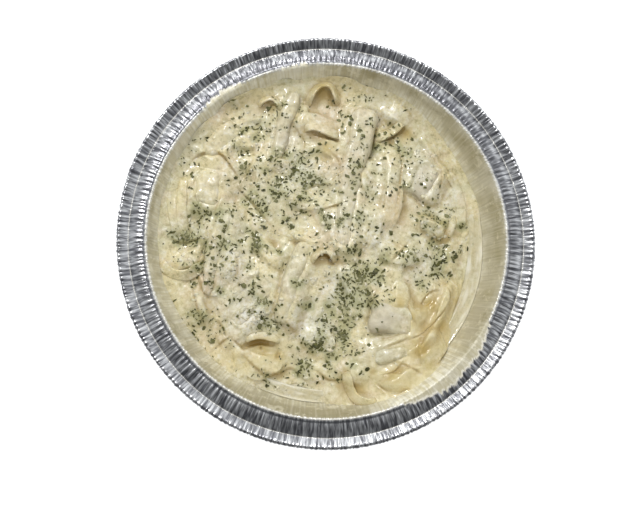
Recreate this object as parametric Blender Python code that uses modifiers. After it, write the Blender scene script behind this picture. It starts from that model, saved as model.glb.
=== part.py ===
"""A round crimped foil pan filled with fettuccine in cream sauce, cut chicken and chopped parsley.

Metres, +Z up. The pan stands on z = 0 with its axis on the Z axis. +Y is the side of the pan where
the noodles are heaped highest against the wall, and the sauce lies open along the +X side.
"""
import math
import random

import bmesh
import bpy
from mathutils import Matrix, Vector
from mathutils.bvhtree import BVHTree

# ---- driving dimensions ----
GAP = 0.0003                 # clear space between pieces that touch

PAN_HEIGHT = 0.044           # table to the bead round the mouth
BEAD_RADIUS = 0.0825         # bead round the mouth
BASE_RADIUS = 0.0668         # foot of the wall, under the corner
CORNER_RADIUS = 0.0035       # rounded corner between wall and floor
CREASE_RADIUS = 0.0905       # crease between the rolled band and the flared lip
CREASE_DROP = 0.0026         # crease below the bead
LIP_RADIUS = 0.0952          # outermost edge of the flared lip
LIP_RISE = 0.0018            # lip edge above the crease
FOIL_THICKNESS = 0.0005
FLUTES = 48                  # coarse crimps round the pan
WALL_CRIMP = 0.00028         # how far a crimp stands in or out of the wall
BAND_CRIMP = 0.00022         # how far it lifts or dips the band
LIP_CRIMP = 0.00045

SAUCE_LEVEL = 0.026
SAUCE_TIDE = 0.0006          # how far the sauce creeps up the wall
WELL_RADIUS = 0.0700         # hollow in the sauce where the noodles sit, at the sauce's surface
WELL_FLOOR_RADIUS = 0.0600
WELL_FLOOR = 0.0027

HEAP_CREST = 0.0365          # highest part of the noodles, near the middle
HEAP_EDGE = 0.0306           # mean height of the heap's outer edge
HEAP_EDGE_LEAN = 0.0054      # the edge is this much higher towards HIGH_SIDE, lower opposite it
HEAP_EDGE_LEAST = 0.0269     # where it has sunk to the sauce
HEAP_RADIUS = 0.0722
HEAP_RADIUS_LEAN = 0.0050    # the heap also reaches this much nearer the wall towards HIGH_SIDE
HIGH_SIDE = math.radians(130)
HEAP_CLIMB = 0.0095          # at CLIMB_SIDE the noodles lean up the wall by this much
HEAP_CLIMB_REACH = 0.0120    # and reach this much further out
CLIMB_SIDE = math.radians(-62)
CLIMB_SPREAD = math.radians(21)
HEAP_SIDE = 0.0022           # height of the heap's outer edge
HEAP_LUMP = 0.0009           # broad lumps over the heap

NOODLE_WIDTH = 0.0080
NOODLE_THICKNESS = 0.0019
NOODLE_STEP = 0.0048         # length of one straight stretch of a noodle
NOODLE_REACH = 0.925         # how near the heap's outline a noodle's middle may come, as a share

FLAKE_COUNT = 32
FLAKE_THICKNESS = 0.0011
FLAKE_SIZES = (0.0013, 0.0024)
FLAKE_SEED = 11
CHICKEN_SEED = 5

# ---- cut chicken: middle x, y, heading in degrees, length, width at tail and head, rise ----
CHICKEN = {
    "chicken_long_strip": (0.0135, 0.0300, 79, 0.0690, 0.0085, 0.0140, 0.0021),
    "chicken_upper_strip": (-0.0195, 0.0545, 75, 0.0350, 0.0076, 0.0084, 0.0017),
    "chicken_lower_strip": (-0.0155, -0.0205, 73, 0.0400, 0.0086, 0.0096, 0.0019),
    "chicken_left_strip": (-0.0510, -0.0065, 78, 0.0400, 0.0066, 0.0092, 0.0016),
    "chicken_chunk": (0.0300, -0.0375, -12, 0.0185, 0.0150, 0.0130, 0.0028),
    "chicken_small_chunk": (0.0300, -0.0535, 8, 0.0160, 0.0090, 0.0076, 0.0020),
    "chicken_right_piece": (0.0465, 0.0290, 62, 0.0170, 0.0110, 0.0130, 0.0017),
    "chicken_pale_piece": (-0.0355, -0.0290, 52, 0.0250, 0.0120, 0.0140, 0.0014),
    "chicken_corner_slice": (-0.0495, 0.0475, 44, 0.0210, 0.0110, 0.0110, 0.0016),
    "chicken_side_piece": (-0.0552, 0.0238, 83, 0.0165, 0.0122, 0.0138, 0.0018),
}
CHICKEN_THICKNESS = 0.0068
CHICKEN_EDGE = 0.0016        # rounding of a cut piece's edges
CHICKEN_FLAKES = {           # where along a strip its flakes of parsley lie, as shares of its length
    "chicken_long_strip": (0.22, 0.47, 0.64, 0.85),
    "chicken_upper_strip": (0.30, 0.70),
    "chicken_lower_strip": (0.35, 0.72),
    "chicken_left_strip": (0.62,),
}

# ---- noodles that show: start x, y, heading, length, bend, lift, arch, tilt (angles in degrees) ----
NOODLES = (
    (-0.0070, 0.0620, 80, 0.0260, -175, 0.0012, 0.0010, 70),     # arch round the hollow, far side
    (-0.0420, 0.0570, 22, 0.0260, -40, 0.0006, 0.0012, 0),       # curl beside it
    (-0.0080, 0.0540, -32, 0.0200, 30, 0.0012, 0.0016, 0),       # lip over the long slit
    (0.0330, 0.0580, -45, 0.0360, -20, 0.0008, 0.0012, 0),       # over the far right of the heap
    (0.0270, 0.0480, 20, 0.0180, -40, 0.0014, 0.0014, 0),        # golden end by the long strip
    (0.0320, 0.0310, -80, 0.0420, -30, 0.0009, 0.0010, 0),       # down the right of the long strip
    (0.0600, 0.0160, -105, 0.0360, 35, 0.0007, 0.0010, 0),       # along the sauce pool
    (0.0400, 0.0060, -35, 0.0300, 85, 0.0012, 0.0018, 0),        # V crease on the right
    (-0.0110, 0.0130, 14, 0.0180, 20, 0.0008, 0.0010, 0),        # crossing left of the long strip
    (0.0010, -0.0100, 75, 0.0200, -150, -0.0012, 0.0008, 60),     # arch in the middle
    (0.0170, -0.0120, -65, 0.0300, 30, 0.0009, 0.0012, 0),       # below the long strip
    (0.0440, -0.0180, -60, 0.0420, -40, 0.0011, 0.0012, 0),      # bare noodles, lower right
    (0.0580, -0.0140, -80, 0.0380, -28, 0.0008, 0.0010, 0),
    (0.0380, -0.0220, -10, 0.0220, -75, 0.0018, 0.0014, 0),
    (0.0420, -0.0470, 20, 0.0180, 45, 0.0009, 0.0012, 0),
    (0.0400, -0.0600, 205, 0.0240, -30, 0.0010, 0.0016, 0),      # by the small ring, near side
    (0.0120, -0.0600, -95, 0.0280, 300, 0.0008, 0.0, 75),        # the small ring
    (0.0050, -0.0420, -95, 0.0260, 38, 0.0010, 0.0012, 0),
    (-0.0090, -0.0480, -110, 0.0240, -50, 0.0009, 0.0012, 0),
    (-0.0350, -0.0470, -80, 0.0440, 230, 0.0004, 0.0004, 55),    # the big loop, lower left
    (-0.0430, -0.0480, -162, 0.0200, 30, 0.0011, 0.0010, 0),
    (-0.0660, -0.0160, -70, 0.0320, 38, 0.0009, 0.0012, 0),      # beside the left crescent
    (-0.0660, 0.0080, -80, 0.0200, -20, 0.0013, 0.0014, 0),
    (-0.0680, 0.0320, -82, 0.0200, 12, 0.0008, 0.0010, 0),       # striped noodle down the left wall
    (-0.0400, 0.0420, -28, 0.0260, -50, 0.0012, 0.0014, 0),      # edge that folds over, upper left
    (-0.0440, 0.0230, -38, 0.0340, 8, 0.0010, 0.0010, 0),        # long diagonal to the middle
    (-0.0360, 0.0080, -48, 0.0280, 30, 0.0008, 0.0010, 0),
    (0.0230, 0.0130, -50, 0.0200, 40, 0.0007, 0.0010, 0),
    (-0.0180, 0.0300, 30, 0.0200, -60, 0.0009, 0.0012, 0),
    (0.0000, -0.0240, -60, 0.0260, -60, 0.0009, 0.0012, 0),      # over the near half of the middle
    (-0.0220, -0.0560, -15, 0.0220, 40, 0.0009, 0.0012, 0),      # between the big loop and the ring
    (-0.0560, -0.0360, -60, 0.0240, 30, 0.0009, 0.0012, 0),
    (0.0460, 0.0460, -30, 0.0220, -50, 0.0009, 0.0012, 0),       # far right, against the wall
)


def clear_scene():
    for thing in list(bpy.data.objects):
        bpy.data.objects.remove(thing, do_unlink=True)


def new_collection(name):
    group = bpy.data.collections.new(name)
    bpy.context.scene.collection.children.link(group)
    return group


def material(name, colour, roughness, metallic=0.0):
    finish = bpy.data.materials.new(name)
    finish.use_nodes = True
    shader = finish.node_tree.nodes["Principled BSDF"]
    shader.inputs["Base Color"].default_value = (*colour, 1.0)
    shader.inputs["Roughness"].default_value = roughness
    shader.inputs["Metallic"].default_value = metallic
    finish.diffuse_color = (*colour, 1.0)
    return finish


def add_object(name, mesh, group, finish=None):
    piece = bpy.data.objects.new(name, mesh)
    group.objects.link(piece)
    if finish:
        mesh.materials.clear()
        mesh.materials.append(finish)
    return piece


def applied_mesh(piece):
    """The mesh of an object as its modifiers or its curve leave it."""
    bpy.context.view_layer.update()
    graph = bpy.context.evaluated_depsgraph_get()
    return bpy.data.meshes.new_from_object(piece.evaluated_get(graph))


def apply_modifiers(piece):
    piece.data = applied_mesh(piece)
    piece.modifiers.clear()


def turned(name, profile, steps, group, finish=None):
    """Turn a profile of (radius, height) points about the Z axis."""
    outline = bmesh.new()
    points = [outline.verts.new((radius, 0.0, height)) for radius, height in profile]
    for start, end in zip(points, points[1:]):
        if max(start.co.x, end.co.x) > 0.0:
            outline.edges.new((start, end))
    mesh = bpy.data.meshes.new(name)
    outline.to_mesh(mesh)
    outline.free()
    piece = add_object(name, mesh, group, finish)
    screw = piece.modifiers.new("turn", "SCREW")
    screw.steps = steps
    screw.render_steps = steps
    screw.use_merge_vertices = True
    screw.merge_threshold = 0.00005
    apply_modifiers(piece)
    return piece


# ---- the foil pan ----
WALL_TOP_RADIUS = BEAD_RADIUS - 0.0008
WALL_SLOPE = (WALL_TOP_RADIUS - BASE_RADIUS) / (PAN_HEIGHT - CORNER_RADIUS)


def wall_radius(height):
    """Outer radius of the straight wall at a height."""
    return BASE_RADIUS + WALL_SLOPE * (height - CORNER_RADIUS)


def inner_wall_radius(height):
    return wall_radius(height) - FOIL_THICKNESS * 1.1 - WALL_CRIMP


def pan_profile():
    """The pan's underside, from the lip's edge in over the band, down the wall and to the middle."""
    crease_height = PAN_HEIGHT - CREASE_DROP
    lean = math.atan(WALL_SLOPE)
    tangent = CORNER_RADIUS * (1 - math.sin(lean))
    middle = wall_radius(tangent) - CORNER_RADIUS * math.cos(lean)
    corner = []
    for step in range(3):
        angle = lean + (math.pi / 2 - lean) * step / 2
        corner.append((middle + CORNER_RADIUS * math.cos(angle), CORNER_RADIUS * (1 - math.sin(angle))))
    return [(LIP_RADIUS, crease_height + LIP_RISE),
            (CREASE_RADIUS, crease_height),
            (BEAD_RADIUS + 0.0045, PAN_HEIGHT - 0.0008),
            (BEAD_RADIUS, PAN_HEIGHT),
            (WALL_TOP_RADIUS, PAN_HEIGHT - 0.0006),
            (wall_radius(SAUCE_LEVEL), SAUCE_LEVEL),
            *corner,
            (0.0, 0.0)]


def crimp(mesh, steps):
    """Push every other spoke of the pan in and out, to leave flutes round wall, band and lip."""
    for vertex in mesh.vertices:
        x, y, height = vertex.co
        radius = math.hypot(x, y)
        if radius < BASE_RADIUS * 0.99:
            continue
        spoke = round(math.atan2(y, x) / (2 * math.pi) * steps)
        side = 1 if spoke % 2 else -1
        if radius > CREASE_RADIUS + 0.001:
            vertex.co.z += side * LIP_CRIMP
        elif radius > BEAD_RADIUS + 0.001:
            vertex.co.z += side * BAND_CRIMP
        elif height < PAN_HEIGHT - 0.0005:
            reach = side * WALL_CRIMP * min(1.0, height / 0.020)
            vertex.co.x += reach * x / radius
            vertex.co.y += reach * y / radius


def make_pan(parts):
    foil = material("foil", (0.72, 0.72, 0.71), 0.28, 1.0)
    steps = 2 * FLUTES
    pan = turned("foil_pan", pan_profile(), steps, parts, foil)
    crimp(pan.data, steps)
    wall = pan.modifiers.new("foil thickness", "SOLIDIFY")
    wall.thickness = FOIL_THICKNESS
    wall.offset = -1.0
    pan.data.shade_smooth()
    return pan


# ---- the sauce ----
def make_sauce(parts):
    cream = material("cream_sauce", (0.62, 0.55, 0.38), 0.30)
    floor = FOIL_THICKNESS + GAP
    edge = inner_wall_radius(SAUCE_LEVEL) - GAP
    foot = inner_wall_radius(CORNER_RADIUS) - GAP - 0.0012
    profile = [(WELL_RADIUS, SAUCE_LEVEL),
               ((WELL_RADIUS + edge) / 2, SAUCE_LEVEL - 0.0002),
               (edge, SAUCE_LEVEL + SAUCE_TIDE),
               (foot + 0.0007, CORNER_RADIUS + 0.0012),
               (foot - 0.0022, floor),
               (0.0, floor)]
    bottom = [(0.0, WELL_FLOOR), (WELL_FLOOR_RADIUS, WELL_FLOOR)]
    sauce = turned("alfredo_sauce", profile + bottom + profile[:1], 60, parts, cream)
    weld(sauce.data, 0.00002)
    sauce.data.shade_smooth()
    return sauce


def weld(mesh, distance):
    """Join the doubled points of a mesh and turn its faces outwards."""
    shell = bmesh.new()
    shell.from_mesh(mesh)
    bmesh.ops.remove_doubles(shell, verts=shell.verts, dist=distance)
    bmesh.ops.recalc_face_normals(shell, faces=shell.faces)
    shell.to_mesh(mesh)
    shell.free()


# ---- the heap of noodles ----
def heap_climb(angle):
    """Share of the climb at an angle: 1 at CLIMB_SIDE, falling off to both sides."""
    away = math.remainder(angle - CLIMB_SIDE, 2 * math.pi)
    return math.exp(-(away / CLIMB_SPREAD) ** 2)


def heap_edge(angle):
    """Height of the heap's outer edge."""
    level = max(HEAP_EDGE_LEAST, HEAP_EDGE + HEAP_EDGE_LEAN * math.cos(angle - HIGH_SIDE))
    return level + HEAP_CLIMB * heap_climb(angle)


def heap_radius(angle):
    """How far the heap reaches from the pan's middle, never past the wall."""
    lean = HEAP_RADIUS_LEAN * math.cos(angle - HIGH_SIDE) + HEAP_CLIMB_REACH * heap_climb(angle)
    uneven = 0.0007 * math.sin(3 * angle + 0.8) + 0.0005 * math.sin(8 * angle)
    return min(HEAP_RADIUS + lean + uneven, inner_wall_radius(heap_edge(angle)) - 2 * GAP)


def heap_height(x, y):
    """Height of the heap's surface over a point of the plan."""
    angle = math.atan2(y, x)
    share = min(1.0, math.hypot(x, y) / heap_radius(angle))
    edge = heap_edge(angle)
    lump = math.sin(x * 140 + 1.0) * math.cos(y * 120 + 0.5) + 0.6 * math.sin(x * 70 - y * 90)
    return edge + (HEAP_CREST - edge) * (1 - share ** 2.4) + HEAP_LUMP * lump * (1 - share ** 4)


def heap_core(group):
    """The body of the heap: a turned form whose top and outline are then shaped to the heap's."""
    rings = (0.10, 0.22, 0.34, 0.46, 0.58, 0.69, 0.79, 0.88, 0.95, 1.0)
    top = [(ring * HEAP_RADIUS, HEAP_CREST) for ring in rings]
    side = [(HEAP_RADIUS, SAUCE_LEVEL + 0.002),
            (WELL_RADIUS - GAP, SAUCE_LEVEL + 0.0004),
            (WELL_FLOOR_RADIUS - GAP, WELL_FLOOR + GAP)]
    profile = [(0.0, HEAP_CREST)] + top + side + [(0.0, WELL_FLOOR + GAP)]
    core = turned("heap_core", profile, 48, group)
    for vertex in core.data.vertices:
        x, y, height = vertex.co
        if height < SAUCE_LEVEL + 0.001:
            continue
        angle = math.atan2(y, x)
        scale = heap_radius(angle) / HEAP_RADIUS
        x, y = x * scale, y * scale
        if height > SAUCE_LEVEL + 0.005:
            vertex.co = (x, y, heap_height(x, y))
        else:
            radius = math.hypot(x, y)
            tuck = max(radius * 0.985, WELL_RADIUS - GAP) / radius
            foot = max(heap_height(x, y) - HEAP_SIDE, SAUCE_LEVEL + 0.0007)
            vertex.co = (x * tuck, y * tuck, foot)
    weld(core.data, 0.00002)
    return core


def noodle_points(x, y, heading, length, bend, lift, arch, tilt):
    """Points of an arc that starts at x, y, turns by bend degrees and lies over the heap."""
    count = max(4, round(length / NOODLE_STEP))
    angle = math.radians(heading)
    turn = math.radians(bend) / count
    points = []
    for index in range(count + 1):
        share = index / count
        rise = lift + arch * math.sin(math.pi * share)
        if index in (0, count) and not tilt:
            rise = -NOODLE_THICKNESS * 0.35
        inside = NOODLE_REACH * heap_radius(math.atan2(y, x)) / max(math.hypot(x, y), 0.001)
        near_x, near_y = x * min(1.0, inside), y * min(1.0, inside)
        points.append(Vector((near_x, near_y, heap_height(near_x, near_y) + rise)))
        x += length / count * math.cos(angle + turn / 2)
        y += length / count * math.sin(angle + turn / 2)
        angle += turn
    return points


def ribbon(name, points, tilt, group):
    """A flat noodle along the points: a curve with a six-sided flat section and closed ends."""
    section = bpy.data.curves.new(name + "_section", "CURVE")
    outline = section.splines.new("POLY")
    half, thick = NOODLE_WIDTH / 2, NOODLE_THICKNESS / 2
    corners = [(-half, 0), (-half * 0.7, thick), (half * 0.7, thick), (half, 0),
               (half * 0.7, -thick), (-half * 0.7, -thick)]
    outline.points.add(len(corners) - 1)
    for point, (across, up) in zip(outline.points, corners):
        point.co = (across, up, 0.0, 1.0)
    outline.use_cyclic_u = True
    guide = bpy.data.objects.new(name + "_section", section)
    group.objects.link(guide)

    path = bpy.data.curves.new(name, "CURVE")
    path.dimensions = "3D"
    path.twist_mode = "Z_UP"
    path.bevel_mode = "OBJECT"
    path.bevel_object = guide
    path.use_fill_caps = True
    spline = path.splines.new("POLY")
    spline.points.add(len(points) - 1)
    for target, point in zip(spline.points, points):
        target.co = (*point, 1.0)
        target.tilt = math.radians(tilt)
    curve = bpy.data.objects.new(name + "_path", path)
    group.objects.link(curve)
    noodle = add_object(name, applied_mesh(curve), group)
    noodle.matrix_world = curve.matrix_world
    bpy.data.objects.remove(curve)
    bpy.data.objects.remove(guide)
    weld(noodle.data, 0.00002)
    return noodle


def parsley_flake(name, place, size, turn, group):
    """A scrap of leaf: a flat five-sided disc that stands a little out of what it lies on."""
    disc = bmesh.new()
    bmesh.ops.create_cone(disc, cap_ends=True, segments=5, radius1=size, radius2=size * 0.8,
                          depth=FLAKE_THICKNESS)
    stretch = Matrix.Diagonal((1.0, 0.62, 1.0, 1.0))
    bmesh.ops.transform(disc, matrix=Matrix.Rotation(turn, 4, "Z") @ stretch, verts=disc.verts)
    bmesh.ops.translate(disc, vec=place + Vector((0, 0, FLAKE_THICKNESS * 0.22)), verts=disc.verts)
    mesh = bpy.data.meshes.new(name)
    disc.to_mesh(mesh)
    disc.free()
    return add_object(name, mesh, group)


def surface_over(pieces):
    """A lookup of the height of the highest surface of some pieces."""
    shell = bmesh.new()
    for piece in pieces:
        shell.from_mesh(piece.data)
    lookup = BVHTree.FromBMesh(shell)
    shell.free()
    return lookup


def unite(target, tools):
    """Join all the pieces in a collection to the target, and remove them.

    The noodles cross each other at grazing angles, where the exact solver leaves open seams.
    """
    union = target.modifiers.new("join", "BOOLEAN")
    union.operation = "UNION"
    union.operand_type = "COLLECTION"
    union.collection = tools
    union.solver = "MANIFOLD"
    apply_modifiers(target)
    for piece in list(tools.objects):
        bpy.data.objects.remove(piece, do_unlink=True)


def cut(target, cutters):
    away = target.modifiers.new("cut", "BOOLEAN")
    away.operation = "DIFFERENCE"
    away.operand_type = "COLLECTION"
    away.collection = cutters
    away.solver = "MANIFOLD"
    apply_modifiers(target)


def keep_largest(piece):
    """Drop the loose scraps and sealed hollows that joining and cutting leave: keep the outer shell."""
    shell = bmesh.new()
    shell.from_mesh(piece.data)
    unseen = set(shell.faces)
    islands = []
    while unseen:
        stack = [unseen.pop()]
        island = list(stack)
        while stack:
            for edge in stack.pop().edges:
                for face in edge.link_faces:
                    if face in unseen and len(edge.link_faces) == 2:
                        unseen.discard(face)
                        island.append(face)
                        stack.append(face)
        islands.append(island)
    islands.sort(key=len)
    for island in islands[:-1]:
        bmesh.ops.delete(shell, geom=island, context="FACES")
    shell.to_mesh(piece.data)
    shell.free()


# ---- the chicken ----
def chicken_mesh(name, place, grow):
    """A cut strip or chunk: a box tapered from tail to head, bowed a little and rounded."""
    x, y, heading, length, tail, head, rise = place
    block = bmesh.new()
    bmesh.ops.create_cube(block, size=1.0)
    long_edges = [edge for edge in block.edges
                  if abs(edge.verts[0].co.x - edge.verts[1].co.x) > 0.5]
    cuts = 3 if length > 0.030 else 1
    bmesh.ops.subdivide_edges(block, edges=long_edges, cuts=cuts, use_grid_fill=True)
    turn = math.radians(heading)
    for vertex in block.verts:
        share = vertex.co.x + 0.5
        width = tail + (head - tail) * share + 2 * grow
        along = vertex.co.x * (length + 2 * grow)
        across = vertex.co.y * width * (0.86 if vertex.co.z > 0 else 1.0)
        across += 0.03 * length * math.sin(math.pi * share)
        plan_x = x + along * math.cos(turn) - across * math.sin(turn)
        plan_y = y + along * math.sin(turn) + across * math.cos(turn)
        middle_x = x + along * math.cos(turn)
        middle_y = y + along * math.sin(turn)
        crown = heap_height(middle_x, middle_y) + rise
        foot = max(crown - CHICKEN_THICKNESS, SAUCE_LEVEL + 0.0020)
        vertex.co = (plan_x, plan_y, crown + grow if vertex.co.z > 0 else foot - grow)
    bmesh.ops.bevel(block, geom=block.edges[:], offset=CHICKEN_EDGE, segments=1, affect="EDGES",
                    profile=0.5, material=-1, clamp_overlap=True)
    bmesh.ops.recalc_face_normals(block, faces=block.faces)
    mesh = bpy.data.meshes.new(name)
    block.to_mesh(mesh)
    block.free()
    return mesh


def make_chicken(parts, cutters):
    meat = material("chicken", (0.58, 0.51, 0.37), 0.45)
    draw = random.Random(CHICKEN_SEED)
    for name, place in CHICKEN.items():
        piece = add_object(name, chicken_mesh(name, place, 0.0), parts, meat)
        cutter = add_object(name + "_space", chicken_mesh(name + "_space", place, GAP), cutters)
        cutter.hide_render = True
        cutter.display_type = "WIRE"
        if name in CHICKEN_FLAKES:
            flakes = new_collection("flakes")
            lookup = surface_over([piece])
            x, y, heading, length = place[:4]
            for share in CHICKEN_FLAKES[name]:
                along = (share - 0.5) * length
                across = 0.03 * length * math.sin(math.pi * share)
                turn = math.radians(heading)
                above = Vector((x + along * math.cos(turn) - across * math.sin(turn),
                                y + along * math.sin(turn) + across * math.cos(turn), 0.1))
                top = lookup.ray_cast(above, Vector((0, 0, -1)))[0]
                size = draw.uniform(*FLAKE_SIZES)
                parsley_flake(f"flake_{share}", top, size, draw.uniform(0, math.pi), flakes)
            unite(piece, flakes)
            bpy.data.collections.remove(flakes)
            piece.data.name = name


def make_fettuccine(parts, cutters):
    pasta = material("fettuccine", (0.66, 0.55, 0.33), 0.38)
    core = heap_core(parts)
    strands = new_collection("strands")
    for index, noodle in enumerate(NOODLES):
        ribbon(f"noodle_{index:02d}", noodle_points(*noodle), noodle[-1], strands)
    lookup = surface_over([core] + list(strands.objects))
    over_chicken = surface_over([piece for piece in cutters.objects])
    draw = random.Random(FLAKE_SEED)
    flakes = 0
    while flakes < FLAKE_COUNT:
        reach = 0.066 * math.sqrt(draw.random())
        angle = draw.uniform(0, 2 * math.pi)
        size = draw.uniform(*FLAKE_SIZES) * (1.25 if flakes < 8 else 1.0)
        above = Vector((reach * math.cos(angle), reach * math.sin(angle), 0.1))
        down = Vector((0, 0, -1))
        turn = draw.uniform(0, math.pi)
        near = over_chicken.find_nearest(above - Vector((0, 0, 0.064)))
        if near[3] is not None and near[3] < size + 0.004:
            continue
        place = lookup.ray_cast(above, down)[0]
        parsley_flake(f"flake_{flakes:02d}", place, size, turn, strands)
        flakes += 1
    unite(core, strands)
    cut(core, cutters)
    keep_largest(core)
    core.name = "fettuccine"
    core.data.name = "fettuccine"
    core.data.materials.clear()
    core.data.materials.append(pasta)
    bpy.data.collections.remove(strands)
    return core


def main():
    clear_scene()
    parts = new_collection("foil_pan_of_chicken_alfredo")
    cutters = new_collection("cutters")
    make_pan(parts)
    make_sauce(parts)
    make_chicken(parts, cutters)
    make_fettuccine(parts, cutters)


main()
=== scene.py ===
# %% [markdown]
# # A foil pan of chicken alfredo, seen from above
#
# The pan is a round takeout pan of crimped aluminium foil. In it lies a heap of fettuccine in cream
# sauce, with strips and chunks of cut chicken and a lot of chopped parsley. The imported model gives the
# frame: the pan stands on z = 0 with its axis on Z, in metres, and every piece below is made in place.

# %% Load the frame
import math
import random

import bmesh
import bpy
import numpy as np
from mathutils import Matrix, Vector, noise
from mathutils.bvhtree import BVHTree


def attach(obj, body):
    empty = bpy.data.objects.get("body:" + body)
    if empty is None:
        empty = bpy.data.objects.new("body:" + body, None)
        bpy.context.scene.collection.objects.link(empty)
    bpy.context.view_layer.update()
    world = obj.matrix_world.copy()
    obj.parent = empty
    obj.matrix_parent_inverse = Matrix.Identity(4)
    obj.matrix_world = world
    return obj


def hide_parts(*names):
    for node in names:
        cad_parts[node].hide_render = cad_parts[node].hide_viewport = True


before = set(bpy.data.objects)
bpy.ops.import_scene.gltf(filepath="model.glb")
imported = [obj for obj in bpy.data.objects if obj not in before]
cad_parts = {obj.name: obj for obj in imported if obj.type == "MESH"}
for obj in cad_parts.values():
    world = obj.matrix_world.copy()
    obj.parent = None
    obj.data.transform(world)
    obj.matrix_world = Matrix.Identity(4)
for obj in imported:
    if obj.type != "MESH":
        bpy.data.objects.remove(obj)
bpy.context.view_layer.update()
MM = 0.001
print("nodes:", sorted(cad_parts))

# %% [markdown]
# ## Camera and light
#
# The camera that fits the photograph looks down into the pan from a little under half a metre, tipped
# some ten degrees towards the near side. A foil rim is a mirror: it shows what stands round it. So the
# room shines most behind the far side, less at the left and right, and hardly at the near side. Two
# wide lamps that the foil doesn't mirror light the food: a window at the far left, and a ceiling lamp
# a little towards the near side. A third, small lamp adds only glints.

# %% Camera
LOOK_AT = Vector((-3.65, -9.25, 44.0)) * MM
CAMERA_DISTANCE = 440 * MM
CAMERA_TILT = math.radians(10.3)
CAMERA_TURN = math.radians(196.0)
LENS, SENSOR = 54.6, 36.0
PHOTO_WIDTH, PHOTO_HEIGHT = 640, 512

toward_camera = Vector((math.sin(CAMERA_TILT) * math.sin(CAMERA_TURN),
                        math.sin(CAMERA_TILT) * math.cos(CAMERA_TURN), math.cos(CAMERA_TILT)))
camera_right = Vector((0, 1, 0)).cross(toward_camera).normalized()
camera_up = toward_camera.cross(camera_right)
camera_place = LOOK_AT + CAMERA_DISTANCE * toward_camera

lens = bpy.data.cameras.new("camera")
lens.lens, lens.sensor_width = LENS, SENSOR
lens.clip_start, lens.clip_end = 0.01, 20.0
camera = bpy.data.objects.new("camera", lens)
bpy.context.scene.collection.objects.link(camera)
camera.matrix_world = Matrix.Translation(camera_place) @ Matrix(
    (camera_right, camera_up, toward_camera)).transposed().to_4x4()
bpy.context.scene.camera = camera
print("camera at", [round(value / MM) for value in camera_place], "mm")


# %% Where a point of the photograph lies
def photo_ray(across, down):
    """Direction from the camera through a point of the photograph, in its pixels."""
    focal = LENS / SENSOR * PHOTO_WIDTH
    ray = (camera_right * (across - PHOTO_WIDTH / 2) / focal
           - camera_up * (down - PHOTO_HEIGHT / 2) / focal - toward_camera)
    return ray.normalized()


def photo_point(across, down, height):
    """The point at that height which the photograph shows there, in metres."""
    ray = photo_ray(across, down)
    return camera_place + ray * ((height - camera_place.z) / ray.z)


middle_point = photo_point(PHOTO_WIDTH / 2, PHOTO_HEIGHT / 2, LOOK_AT.z)
print("middle of the photograph:", [round(value / MM, 1) for value in middle_point], "mm")

# %% Lights
LAMPS_FACE = (0, 0, 0.03)


def soft_light(name, place, width, depth, watts):
    """A rectangular lamp at a place in metres, turned to face the food."""
    lamp = bpy.data.lights.new(name, "AREA")
    lamp.shape = "RECTANGLE"
    lamp.size, lamp.size_y = width, depth
    lamp.energy = watts
    holder = bpy.data.objects.new(name, lamp)
    bpy.context.scene.collection.objects.link(holder)
    holder.location = place
    holder.rotation_euler = (Vector(place) - Vector(LAMPS_FACE)).to_track_quat("Z", "Y").to_euler()
    return holder


window = soft_light("window", (-0.35, 0.85, 1.02), 1.0, 0.7, 7.6)
window.visible_glossy = False        # foil mirrors the pale room behind it instead
ceiling = soft_light("ceiling", (-0.05, -0.25, 1.20), 1.4, 1.4, 7.8)
ceiling.visible_glossy = False       # and the dark camera side overhead
glint = soft_light("glint", (-0.30, 0.80, 1.30), 0.16, 0.16, 7.0)
glint.visible_diffuse = False

# %% The room
# Towards each side the room shines that much, in a lobe as wide as its power is low.
ROOM_DIM = 0.075
ROOM_SIDES = (((0.05, 0.87, 0.50), 5.0, 1.15), ((-0.88, 0.10, 0.46), 5.0, 0.62),
              ((0.88, 0.15, 0.46), 5.0, 0.72), ((0.0, -0.93, 0.36), 8.0, 0.20))
ROOM_COLOUR = (0.94, 0.97, 1.0, 1.0)
BACKDROP = 1.0               # what the camera itself sees past the floor
world = bpy.data.worlds.new("studio")
world.use_nodes = True
tree = world.node_tree
towards = tree.nodes.new("ShaderNodeTexCoord").outputs["Generated"]


def room_math(operation, first, second):
    """The result of a math node on two values or sockets."""
    made = tree.nodes.new("ShaderNodeMath")
    made.operation = operation
    for socket, value in zip(made.inputs, (first, second)):
        if isinstance(value, bpy.types.NodeSocket):
            tree.links.new(value, socket)
        else:
            socket.default_value = value
    return made.outputs[0]


shine = room_math("ADD", ROOM_DIM, 0.0)
for side, power, strength in ROOM_SIDES:
    facing = tree.nodes.new("ShaderNodeVectorMath")
    facing.operation = "DOT_PRODUCT"
    tree.links.new(towards, facing.inputs[0])
    facing.inputs[1].default_value = Vector(side).normalized()
    lobe = room_math("POWER", room_math("MAXIMUM", facing.outputs["Value"], 0.0), power)
    shine = room_math("ADD", shine, room_math("MULTIPLY", lobe, strength))
room = tree.nodes["Background"]
room.inputs["Color"].default_value = ROOM_COLOUR
tree.links.new(shine, room.inputs["Strength"])
backdrop = tree.nodes.new("ShaderNodeBackground")
backdrop.inputs["Color"].default_value = (1.0, 1.0, 1.0, 1.0)
backdrop.inputs["Strength"].default_value = BACKDROP
either = tree.nodes.new("ShaderNodeMixShader")
tree.links.new(tree.nodes.new("ShaderNodeLightPath").outputs["Is Camera Ray"], either.inputs[0])
tree.links.new(room.outputs[0], either.inputs[1])
tree.links.new(backdrop.outputs[0], either.inputs[2])
tree.links.new(either.outputs[0], tree.nodes["World Output"].inputs["Surface"])
bpy.context.scene.world = world
bpy.context.scene.view_settings.view_transform = "Standard"


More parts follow.
